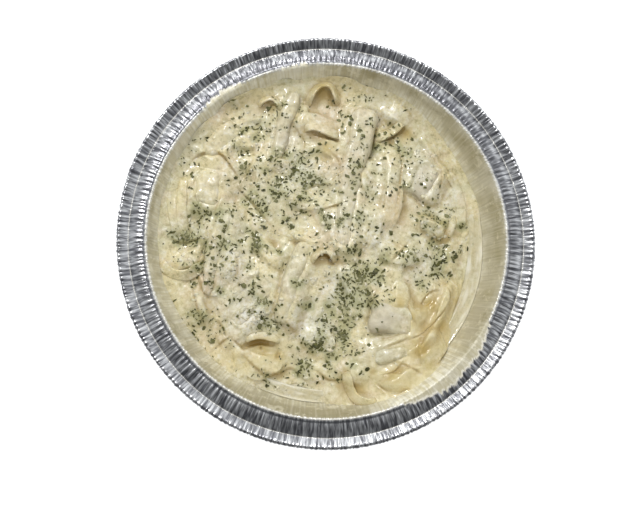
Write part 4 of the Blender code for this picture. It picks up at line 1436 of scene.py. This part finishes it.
# Loops and edges that stand out of the sauce: points in pixels, width, tilt (degrees), lift (mm).
LOOPS = (
    (((308, 108), (310, 95), (319, 86), (330, 86), (337, 95), (340, 108)), 4.6, -50, 0.0),
    (((256, 110), (262, 101), (272, 98), (279, 104), (282, 115)), 4.2, -45, -0.2),
    (((309, 267), (314, 255), (323, 250), (332, 253), (338, 266)), 4.4, -50, -0.2),
    (((345, 368), (348, 386), (355, 399), (368, 404), (380, 398)), 5.0, 30, -0.2),
    (((158, 256), (166, 270), (180, 276), (193, 273), (206, 260)), 5.0, 24, -0.2),
    (((416, 218), (427, 227), (436, 231), (443, 243)), 5.0, 25, -0.3),
    (((176, 174), (173, 198), (174, 220), (178, 242)), 4.6, 0, -0.7),
    (((185, 172), (182, 198), (183, 222), (188, 244)), 4.6, 0, -0.6),
    (((300, 130), (314, 127), (326, 131), (344, 137)), 4.6, -22, -0.4),
    (((373, 142), (388, 133), (406, 122)), 4.4, -22, -0.4),
    (((446, 170), (456, 186), (461, 206), (462, 232)), 4.8, 12, -0.5),
    (((243, 342), (252, 337), (262, 335), (274, 338), (284, 344)), 4.2, -25, -0.2),
)
tops = np.full(plan_x.shape, SAUCE_LEVEL)
raise_grid(tops, corners[:, 0], corners[:, 1], corners[:, 2])
ground[:] = tops
loops = bmesh.new()
loop_draw = random.Random(31)
for points, width, tilt, lift in LOOPS:
    pour_in(loops, lay_noodle([on_heap(*point) for point in points], loop_draw, width=width,
                              tilt=tilt, lift=lift, ruffle=0.15, sink=4.0, thickness=1.3))
loops = remeshed("loops", loops, LOOP_VOXEL, rounds=3)
loop_corners = corner_table(loops)
reach = np.hypot(loop_corners[:, 0], loop_corners[:, 1])
inward = np.minimum(1.0, (wall_at(loop_corners[:, 2]) + 0.1) / np.maximum(reach, 1.0))
loop_corners[:, :2] *= inward[:, None]
raise_grid(tops, loop_corners[:, 0], loop_corners[:, 1], loop_corners[:, 2])
closed = blurred(spread(tops, 1.5), 1.5)


def shaded(places):
    """How much painted shade each place gets: its depth below the highest surface round it."""
    depth = read_grid(closed, places[:, 0], places[:, 1]) - places[:, 2]
    return np.clip((depth - 1.3) / 3.4, 0, 0.5)


reach = np.hypot(corners[:, 0], corners[:, 1])
inward = np.clip((heap_radius(angle) - reach) / 4.0, 0.15, 1)
# painted shade where places lie deep, not under the chicken, less near the heap's edge
painted_hollow_shade = np.maximum(painted_hollow_shade, shaded(corners) * (1 - covered)) * inward
print("loops:", len(LOOPS), "corners:", len(loop_corners))

# %% Places where the food has its own colour
# Where the sauce is thin and the noodles show golden: middle in pixels, reach in mm, strength.
BARE = (((432, 322), 17.0, 1.0), ((400, 372), 15.0, 1.0), ((352, 390), 9.0, 0.9),
        ((325, 92), 7.0, 0.8), ((327, 148), 8.0, 0.75), ((402, 135), 6.0, 0.9),
        ((340, 88), 12.0, 0.45), ((372, 95), 9.0, 0.4),
        ((266, 355), 12.0, 0.8), ((322, 262), 6.0, 0.5), ((246, 110), 9.0, 0.35),
        ((270, 222), 10.0, 0.35), ((200, 300), 7.0, 0.5), ((410, 210), 9.0, 0.35))
# Pockets between them, in slits and hollows, where a deeper gold is painted as shade.
SHADED_POCKETS = (((431, 305), 3.4, 1.0), ((409, 318), 3.4, 0.8), ((421, 350), 4.2, 1.0),
           ((442, 326), 3.4, 0.7), ((399, 303), 3.0, 0.8), ((459, 300), 2.6, 0.7),
           ((414, 341), 2.2, 0.6), ((392, 378), 3.0, 0.6), ((360, 388), 3.0, 0.6),
           ((372, 372), 2.6, 0.6), ((405, 392), 4.0, 0.5), ((327, 148), 3.4, 0.8),
           ((407, 133), 3.0, 0.9), ((322, 92), 3.2, 1.0), ((262, 345), 4.0, 0.8),
           ((278, 356), 2.4, 0.9), ((430, 366), 4.0, 0.5))
# Where the sauce is grey, partly its own tone and partly painted shade beside the chicken, where pink,
# and where white flakes of cheese lie in it.
TINGES = {
    "grey_tone_and_shade": (((388, 350), 8.0, 0.6), ((380, 322), 7.0, 0.5), ((415, 168), 9.0, 0.7),
                ((422, 187), 6.0, 0.9), ((368, 150), 5.0, 0.5), ((290, 130), 9.0, 0.4),
                ((240, 290), 8.0, 0.4), ((180, 130), 9.0, 0.4), ((300, 280), 9.0, 0.4)),
    "pinkish": (((207, 282), 7.0, 0.9), ((330, 114), 9.0, 0.7), ((340, 165), 8.0, 0.6),
                ((398, 215), 9.0, 0.5), ((215, 335), 9.0, 0.5), ((240, 185), 10.0, 0.4),
                ((212, 110), 9.0, 0.5), ((390, 200), 8.0, 0.5), ((330, 235), 8.0, 0.5)),
    "flaky": (((253, 317), 9.0, 1.0), ((302, 326), 7.0, 0.8), ((232, 262), 9.0, 0.6),
              ((338, 288), 8.0, 0.7), ((318, 332), 9.0, 0.6), ((375, 238), 7.0, 0.6),
              ((300, 172), 14.0, 0.5), ((345, 225), 8.0, 0.5), ((250, 385), 9.0, 0.4),
              ((420, 262), 8.0, 0.6), ((205, 305), 6.0, 0.6), ((385, 112), 8.0, 0.6),
              ((440, 200), 9.0, 0.5), ((290, 392), 8.0, 0.5)),
}


def tinge(mesh, places):
    """Store on a mesh how grey the sauce is, partly painted shade, and how pinkish and flaky, at each
    place.
    """
    for name, table in TINGES.items():
        set_attribute(mesh, name, spots(table, places))


print("golden places:", len(BARE), "pockets:", len(SHADED_POCKETS), "tinges:", sorted(TINGES))


# %% Make the pieces of pasta
def noodle_piece(name, shell, places, painted_hollow_shade):
    """A pasta piece with what each corner knows about its place."""
    set_corners(shell, places * MM)
    made = new_object(name, shell)
    set_attribute(made.data, "painted_hollow_shade", painted_hollow_shade)
    set_attribute(made.data, "bare", 0.75 * spots(BARE, places))
    set_attribute(made.data, "pocket_painted_shade", spots(SHADED_POCKETS, places))
    tinge(made.data, places)
    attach(made, "root")
    print(name, triangle_count(made), "triangles, top at", round(places[:, 2].max(), 1), "mm")
    return made


coat_piece = noodle_piece("sauced_fettuccine", coat, corners, painted_hollow_shade)
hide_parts("fettuccine")
loops_piece = noodle_piece("noodle_loops", loops, loop_corners, shaded(loop_corners))

# %% [markdown]
# Alfredo sauce is cream, butter and cheese: warm white, greyish or pinkish in places, and golden where
# the noodles show through. Painted shade turns it a deeper gold in the hollows and greyer beside the
# chicken. It is wet, so it has a clear, soft gloss, and light goes a little way into it. Four finishes
# use the same layers, so they are one node group, and each adds its own tint.

# %% Cream sauce
CREAM_COOL = from_screen(210, 204, 168)
CREAM_WARM = from_screen(222, 209, 163)
CREAM_LIGHT, CREAM_WHITE = from_screen(236, 231, 212), from_screen(238, 235, 224)
CREAM_GREY, CREAM_PINK = from_screen(196, 189, 164), from_screen(212, 190, 160)
NOODLE_GOLD = from_screen(212, 197, 150)
# painted shade colour for pockets
POCKET_PAINTED_SHADE = from_screen(190, 168, 102)
# painted shade colour for hollows and cracks
HOLLOW_PAINTED_SHADE = from_screen(168, 141, 80)
HERB_STAIN = from_screen(158, 158, 110)


def cream_layers():
    """A node group with the colour, unevenness of gloss and relief of thick cream sauce."""
    group = bpy.data.node_groups.new("cream sauce", "ShaderNodeTree")
    for name, kind in (("Colour", "NodeSocketColor"), ("Dull", "NodeSocketFloat"),
                       ("Normal", "NodeSocketVector")):
        group.interface.new_socket(name, in_out="OUTPUT", socket_type=kind)
    layer = Finish("cream sauce", group)
    mottle = layer.grain(380.0, 4.0, 0.65)
    speck = layer.grain(1250.0, 2.0)
    flaky = layer.ramp(layer.grain(620.0, 3.0, 0.6), 0.42, 0.56)
    colour = layer.washes(
        CREAM_COOL,
        (layer.ramp(layer.grain(60.0, 3.0), 0.38, 0.62), CREAM_WARM),
        (layer.ramp(layer.grain(130.0, 2.0), 0.50, 0.66, 0.0, 0.45), from_screen(214, 196, 168)),
        # grey: partly the sauce's own tone, partly painted shade beside the chicken
        (layer.attribute("grey_tone_and_shade"), CREAM_GREY),
        (layer.attribute("pinkish"), CREAM_PINK),
        (layer.ramp(mottle, 0.52, 0.66, 0.0, 0.75), CREAM_LIGHT),
        (layer.ramp(mottle, 0.34, 0.47, 0.75, 0.0), from_screen(172, 160, 118)),
        (layer.ramp(speck, 0.33, 0.44, 0.28, 0.0), from_screen(168, 159, 122)),
        (layer.sum(layer.attribute("flaky"), flaky, "MULTIPLY"), CREAM_WHITE))
    ends = group.nodes.new("NodeGroupOutput")
    layer.put(ends.inputs["Colour"], colour)
    layer.put(ends.inputs["Dull"], layer.ramp(layer.grain(230.0, 2.0), 0.3, 0.7, -0.06, 0.16))
    layer.put(ends.inputs["Normal"],
              layer.bump(speck, 0.15, 0.0002, layer.bump(mottle, 0.30, 0.0009)))
    return group


CREAM = cream_layers()
print("cream sauce:", len(CREAM.nodes), "nodes")


# %% Sauced noodles
def creamy(name, gloss=0.24):
    """A wet cream sauce finish, and its base colour, which each use goes on to tint."""
    finish = Finish(name)
    cream = finish.node("ShaderNodeGroup", node_tree=CREAM).outputs
    finish.set(roughness=finish.sum(cream["Dull"], gloss), normal=cream["Normal"],
               subsurface_weight=0.2, subsurface_scale=0.0014, coat_weight=0.4,
               coat_roughness=0.10)
    finish.put(finish.shader.inputs["Subsurface Radius"], (1.0, 0.86, 0.62))
    return finish, cream["Colour"]


sauced, colour = creamy("sauced noodles")
sauced.set(base_color=sauced.washes(
    colour,
    (sauced.attribute("bare"), NOODLE_GOLD),
    # painted shade: a deeper gold in the pockets
    (sauced.attribute("pocket_painted_shade"), POCKET_PAINTED_SHADE),
    # painted shade: dark gold in hollows and cracks
    (sauced.ramp(sauced.attribute("painted_hollow_shade"), 0.0, 0.8), HOLLOW_PAINTED_SHADE),
    (sauced.attribute("herbs"), HERB_STAIN)))
for piece in (coat_piece, loops_piece):
    piece.data.materials.append(sauced.material)
print("sauced noodles:", len(sauced.tree.nodes), "nodes")

# %% Sauced chicken
meat, colour = creamy("sauced chicken", 0.34)
MEAT_GREY = from_screen(200, 191, 168)
meat.set(base_color=meat.washes(
    colour,
    (meat.attribute("lean"), MEAT_GREY),
    (meat.ramp(meat.attribute("fibre"), 0.2, 0.45, 0.30, 0.0), from_screen(184, 172, 142)),
    # painted shade on the steep sides of the pieces
    (meat.ramp(meat.attribute("side_painted_shade"), 0.0, 1.0, 0.0, 0.5), from_screen(172, 162, 136)),
    (meat.attribute("herbs"), HERB_STAIN)))
for piece in chicken_pieces.values():
    piece.data.materials.append(meat.material)
    tinge(piece.data, corners_of(piece.data) / MM)
print("sauced finishes ready")

# %% [markdown]
# ## The sauce in the pan
#
# Between the noodles and the wall stands thin cream sauce, widest along the right side. Its surface
# dips a little between the two and creeps up where it touches them, which gives the bright rim of
# light along its edge. It is turned about the axis like the pan, then its top is shaped.

# %% Sauce
POOL_STEPS = 360
POOL_RINGS = 16
WELL_REACH, WELL_FOOT = 69.0, 59.5
WELL_BOTTOM, POOL_BOTTOM = 2.7, 0.9
pool_edge = float(wall_at(SAUCE_LEVEL)) + 0.15
pool_top = [(WELL_REACH + (pool_edge - WELL_REACH) * step / POOL_RINGS, SAUCE_LEVEL)
            for step in range(POOL_RINGS + 1)]
pool_profile = ([(0.0, WELL_BOTTOM), (WELL_FOOT, WELL_BOTTOM)] + pool_top
                + [(BASE_RADIUS - 1.6, 4.8), (BASE_RADIUS - 4.0, POOL_BOTTOM), (0.0, POOL_BOTTOM)])
pool = turned(pool_profile, POOL_STEPS, 0.01)
bmesh.ops.recalc_face_normals(pool, faces=pool.faces)
corners = corner_table(pool)
reach, angle = polar(corners)
flat = corners[:, 2] > SAUCE_LEVEL - 0.01
at_wall = np.exp(-(pool_edge - reach) / 0.9)
at_heap = np.exp(-np.maximum(reach - heap_radius(angle) - 0.5, 0) / 3.2)
around = np.stack([angle * pool_edge * 0.28, reach * 1.4, 0 * reach], axis=1)
ripple_and_highlight = cloud(around, 3.0, 83) + 0.5 * cloud(around, 1.4, 84)
swells = 0.25 * cloud(corners, 9.0, 81) + 0.12 * cloud(corners, 3.2, 82) + 0.26 * ripple_and_highlight
corners[flat, 2] += (0.9 * at_wall + 1.4 * at_heap + swells - 0.15)[flat]
set_corners(pool, corners * MM)
pool_piece = new_object("cream_sauce", pool)
set_attribute(pool_piece.data, "shore", np.clip(at_wall, 0, 1))
tinge(pool_piece.data, corners)
# lighter streaks along the ripples: partly whitish sauce, partly painted highlight
set_attribute(pool_piece.data, "ripple_and_highlight", np.clip(ripple_and_highlight * 1.6 - 0.15, 0, 0.75))
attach(pool_piece, "root")
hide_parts("alfredo_sauce")
print("sauce:", triangle_count(pool_piece), "triangles")

# %% Thin sauce
thin, colour = creamy("thin sauce", 0.12)
colour = thin.washes(
    colour,
    (0.5, from_screen(196, 188, 160)),
    (thin.ramp(thin.attribute("shore"), 0.25, 1.0, 0.0, 0.8), from_screen(222, 214, 186)),
    (thin.attribute("herbs"), HERB_STAIN),
    # lighter streaks along the ripples, partly painted highlight
    (thin.attribute("ripple_and_highlight"), CREAM_LIGHT))
thin.set(base_color=colour, coat_weight=0.6, coat_roughness=0.06,
         normal=thin.bump(thin.grain(300.0, 2.0), 0.30, 0.0008))
pool_piece.data.materials.append(thin.material)
print("thin sauce:", len(thin.tree.nodes), "nodes")

# %% Sauce smeared up the wall
# Middle and half width in degrees round the pan, how far it climbs above the food in millimetres,
# and how thickly it covers the wall.
SMEARS = ((118.0, 44.0, 6.0, 0.90), (50.0, 30.0, 4.5, 1.00), (172.0, 30.0, 5.0, 0.80),
          (-142.0, 36.0, 10.0, 0.70), (-98.0, 28.0, 6.0, 0.55), (-56.0, 22.0, 16.0, 0.95),
          (14.0, 40.0, 4.0, 0.7))
places = corners_of(pan.data) / MM
reach, angle = polar(places)
coat_top = heap_edge(angle) + 1.0 + 2.2 * far_share(angle)
food_top = coat_top + (SAUCE_LEVEL - coat_top) * sunk_share(gap_to_wall(angle))
above = places[:, 2] - food_top
ragged = cloud(places, 9.0, 91) * 0.35 + cloud(places, 2.6, 92) * 0.30
smear = np.zeros(len(places))
for middle, half, climb, cover in SMEARS:
    away = np.abs((np.degrees(angle) - middle + 180) % 360 - 180) / half
    share = np.clip(1.25 - away, 0, 1) * np.clip(1.3 - above / climb + ragged, 0, 1)
    smear = np.maximum(smear, cover * np.clip(share * 1.4, 0, 1))
smear[places[:, 2] < 20] = 0
smear = np.where(reach > BEAD_RADIUS - 0.3, 0.3 * film, smear)
set_attribute(pan.data, "smear", smear)
print("smeared corners of the pan:", int((smear > 0.3).sum()))

# %% [markdown]
# ## Parsley
#
# Chopped parsley was strewn over the dish, thickest in the middle and along a belt from the left to
# the right. A flake is a small fan of faces about a raised middle, given a thickness. Where it lies
# is found by looking along the camera's ray through a pixel of the photograph: what the ray meets
# first is the place, and the flake turns to lie nearly flat on it.

# %% What the flakes can lie on
food = [coat_piece, loops_piece, pool_piece] + list(chicken_pieces.values())
graph = bpy.context.evaluated_depsgraph_get()
resting = [BVHTree.FromObject(piece, graph) for piece in food]


def seen_at(across, down):
    """Place and normal of the food that shows at a pixel of the photograph, or None."""
    ray = photo_ray(across, down)
    hits = [tree.ray_cast(camera_place, ray) for tree in resting]
    hits = [hit for hit in hits if hit[0] is not None]
    if not hits:
        return None
    place, normal, _, _ = min(hits, key=lambda hit: hit[3])
    return place, normal


def lying_on(normal, heading):
    """A turn that lays a flat thing on a slope, with its long side along the heading."""
    return (normal.to_track_quat("Z", "Y").to_matrix()
            @ Matrix.Rotation(heading, 3, "Z")).to_4x4()


DRIFT_SPREAD = 0.6           # spread of a drift, as a share of its half width


def drifted(draw, across, down, wide, high):
    """A pixel drawn at random about the middle of a drift."""
    return draw.gauss(across, wide * DRIFT_SPREAD), draw.gauss(down, high * DRIFT_SPREAD)


print("pieces the flakes can lie on:", len(resting))

# %% One flake
FLAKE_THICKNESS = 0.14


def add_flake(shell, place, normal, draw, length, width, cup=0.15, sides=6):
    """A ragged fan of faces, its middle raised, in millimetres."""
    turn = lying_on((normal + Vector([draw.gauss(0, 0.22) for _ in range(3)])).normalized(),
                    draw.uniform(0, 2 * math.pi))
    middle = place / MM + normal * 0.22
    ring = []
    for step in range(sides):
        angle = 2 * math.pi * (step + draw.uniform(-0.25, 0.25)) / sides
        reach = draw.uniform(0.55, 1.0)
        corner = Vector((math.cos(angle) * length / 2 * reach, math.sin(angle) * width / 2 * reach,
                         draw.uniform(-0.6, 0.8) * cup))
        ring.append(shell.verts.new(middle + turn @ corner))
    top = shell.verts.new(middle + turn @ Vector((0, 0, cup)))
    for start, stop in zip(ring, ring[1:] + ring[:1]):
        shell.faces.new((top, start, stop))


print("flakes are", FLAKE_THICKNESS, "mm thick")

# %% Where the parsley fell
# Middle in pixels, half width across and down in pixels, number of flakes.
DRIFTS = (
    ((200, 118), (22, 22), 7), ((262, 126), (20, 16), 26), ((288, 112), (22, 16), 11),
    ((352, 112), (26, 18), 20), ((372, 140), (26, 18), 20), ((398, 148), (14, 10), 14),
    ((252, 160), (24, 18), 32), ((300, 160), (16, 14), 22), ((282, 184), (20, 16), 24),
    ((316, 182), (16, 14), 26), ((366, 180), (24, 16), 22), ((415, 180), (22, 18), 16),
    ((188, 165), (22, 20), 8), ((258, 208), (22, 14), 30), ((300, 205), (20, 14), 20),
    ((212, 214), (18, 12), 22), ((352, 215), (24, 16), 22), ((436, 218), (24, 14), 30),
    ((184, 240), (18, 12), 30), ((220, 250), (26, 14), 30), ((252, 244), (16, 14), 22),
    ((345, 245), (22, 14), 20), ((395, 252), (24, 14), 24), ((444, 252), (20, 16), 30),
    ((205, 275), (26, 14), 22), ((250, 276), (20, 14), 16), ((352, 275), (20, 14), 38),
    ((380, 280), (18, 12), 22), ((430, 280), (18, 12), 18), ((246, 300), (20, 12), 18),
    ((350, 300), (22, 14), 46), ((376, 300), (14, 10), 16), ((205, 322), (22, 14), 28),
    ((270, 322), (18, 12), 20), ((338, 326), (22, 12), 34), ((200, 345), (20, 12), 12),
    ((312, 348), (20, 12), 26), ((345, 345), (16, 10), 18), ((262, 375), (24, 12), 10),
    ((300, 372), (22, 12), 16), ((345, 370), (20, 12), 12), ((318, 215), (110, 95), 150),
)
FLAKE_SIZES, FLAKE_SHARES = (1.1, 1.7, 2.4, 3.2), (30, 38, 23, 9)
PARSLEY_SHARE, CLUMPED = 2.2, 0.6       # multiplies those numbers; share of flakes in clumps
CLUMP_EVERY, CLUMP_SPREAD = 6, 3.4      # flakes to a clump, and its half width in pixels
parsley_draw = random.Random(17)
parsley = bmesh.new()
strewn = np.zeros(plan_x.shape)


def note_fall(place, weight):
    """Count what fell on a cell of the plan, for the stain it leaves in the sauce."""
    np.add.at(strewn, (cell_of(place.x / MM), cell_of(place.y / MM)), weight)


for (across, down), (wide, high), number in DRIFTS:
    for index in range(round(number * PARSLEY_SHARE)):
        if index % CLUMP_EVERY == 0:
            clump = drifted(parsley_draw, across, down, wide, high)
        if parsley_draw.random() < CLUMPED:
            spot = [parsley_draw.gauss(value, CLUMP_SPREAD) for value in clump]
        else:
            spot = drifted(parsley_draw, across, down, wide, high)
        found = seen_at(*spot)
        if found is None:
            continue
        note_fall(found[0], 1.0)
        length = (parsley_draw.choices(FLAKE_SIZES, FLAKE_SHARES)[0]
                  * parsley_draw.uniform(0.8, 1.25))
        slender = parsley_draw.choice((0.3, 0.42, 0.55, 0.8))
        add_flake(parsley, *found, parsley_draw, length, max(0.5, length * slender),
                  sides=parsley_draw.choice((4, 5, 6)))
print("flakes strewn:", int(strewn.sum()))

# %% Leaf tips
# Whole leaf tips: pixel and size in millimetres, each a few flakes crumpled together.
LEAVES = (
    ((255, 243), 5.2), ((315, 348), 5.2), ((436, 264), 4.8), ((342, 335), 4.6), ((376, 275), 4.6),
    ((333, 356), 4.0), ((196, 207), 3.8), ((221, 292), 3.6), ((196, 268), 3.4), ((296, 284), 4.2),
    ((308, 306), 3.8), ((462, 226), 3.6), ((298, 373), 3.2), ((218, 213), 3.2), ((252, 194), 3.0),
    ((273, 193), 3.0), ((433, 245), 3.2), ((384, 261), 2.8), ((277, 252), 3.0), ((277, 150), 2.8),
    ((261, 212), 2.6), ((244, 202), 2.6), ((206, 246), 2.6), ((287, 155), 2.6), ((261, 302), 2.6),
    ((352, 364), 2.6), ((327, 306), 2.6), ((178, 241), 2.6), ((255, 137), 2.4), ((326, 220), 2.4),
    ((307, 184), 2.4), ((377, 147), 2.4), ((400, 149), 3.0), ((408, 152), 2.6), ((445, 223), 2.6),
    ((330, 312), 3.2), ((346, 322), 3.0), ((352, 298), 2.8), ((445, 258), 3.0), ((322, 338), 3.0),
)
for (across, down), size in LEAVES:
    for _ in range(max(3, round(size * 1.6))):
        found = seen_at(parsley_draw.gauss(across, size * 0.55), parsley_draw.gauss(down, size * 0.5))
        if found is not None:
            note_fall(found[0], 3.0)
            add_flake(parsley, *found, parsley_draw, size * parsley_draw.uniform(0.35, 0.62),
                      size * parsley_draw.uniform(0.22, 0.42), cup=0.35, sides=7)
print("leaf tips:", len(LEAVES))

# %% Finish the parsley
bmesh.ops.recalc_face_normals(parsley, faces=parsley.faces)
bmesh.ops.solidify(parsley, geom=parsley.faces[:], thickness=FLAKE_THICKNESS)
to_metres(parsley)
parsley_piece = new_object("parsley", parsley, smooth=False)
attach(parsley_piece, "root")
herb = Finish("dried parsley")
variety = herb.grain(620.0, 0.0)
leaf_colour = herb.washes(
    from_screen(54, 54, 20),
    (herb.ramp(variety, 0.30, 0.70), from_screen(100, 99, 48)),
    (herb.ramp(herb.grain(190.0, 1.0), 0.45, 0.7, 0.0, 0.7), from_screen(140, 138, 96)))
herb.set(base_color=leaf_colour, roughness=0.62,
         normal=herb.bump(herb.grain(2600.0, 2.0), 0.4, 0.0001))
parsley_piece.data.materials.append(herb.material)
# The sauce is stained green where they lie thick.
stain = np.clip(blurred(strewn, 1.6) * 6.0 - 0.12, 0, 0.6)
for piece in food:
    corners = corners_of(piece.data) / MM
    set_attribute(piece.data, "herbs", read_grid(stain, corners[:, 0], corners[:, 1]))
print("parsley:", triangle_count(parsley_piece), "triangles, stain up to",
      round(float(stain.max()), 2))

# %% [markdown]
# ## Grated cheese
#
# Grains of hard cheese, half melted into the sauce, make the middle of the dish look flaked.

# %% Grated cheese
CHEESE_SIZES = (0.4, 0.55, 0.75, 1.0)
# Middle in pixels, half width across and down in pixels, number of grains.
CHEESE = (((290, 170), (40, 34), 110), ((253, 316), (14, 14), 60), ((300, 240), (50, 40), 90),
          ((350, 260), (24, 30), 50), ((215, 290), (26, 30), 50), ((420, 165), (26, 22), 40),
          ((440, 240), (26, 24), 40), ((200, 240), (26, 26), 40), ((330, 330), (34, 26), 60),
          ((250, 125), (34, 20), 40), ((290, 385), (50, 10), 30))
cheese_draw = random.Random(29)
cheese = bmesh.new()
for (across, down), (wide, high), number in CHEESE:
    for _ in range(number):
        found = seen_at(*drifted(cheese_draw, across, down, wide, high))
        if found is None:
            continue
        place, normal = found
        size = cheese_draw.choice(CHEESE_SIZES) * cheese_draw.uniform(0.8, 1.3)
        shape = Matrix.Diagonal((size * cheese_draw.uniform(0.9, 1.9), size, size * 0.42, 1.0))
        turn = lying_on(normal, cheese_draw.uniform(0, 6.3))
        made = bmesh.ops.create_icosphere(
            cheese, subdivisions=1, radius=1.0,
            matrix=Matrix.Translation(place / MM - normal * size * 0.2) @ turn @ shape)
        for vertex in made["verts"]:
            vertex.co += Vector([cheese_draw.uniform(-0.18, 0.18) * size for _ in range(3)])
to_metres(cheese)
cheese_piece = new_object("grated_cheese", cheese)
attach(cheese_piece, "root")
grated, colour = creamy("grated cheese", 0.42)
grated.set(base_color=grated.mix(0.4, colour, from_screen(222, 217, 194)))
cheese_piece.data.materials.append(grated.material)
print("cheese:", triangle_count(cheese_piece), "triangles")
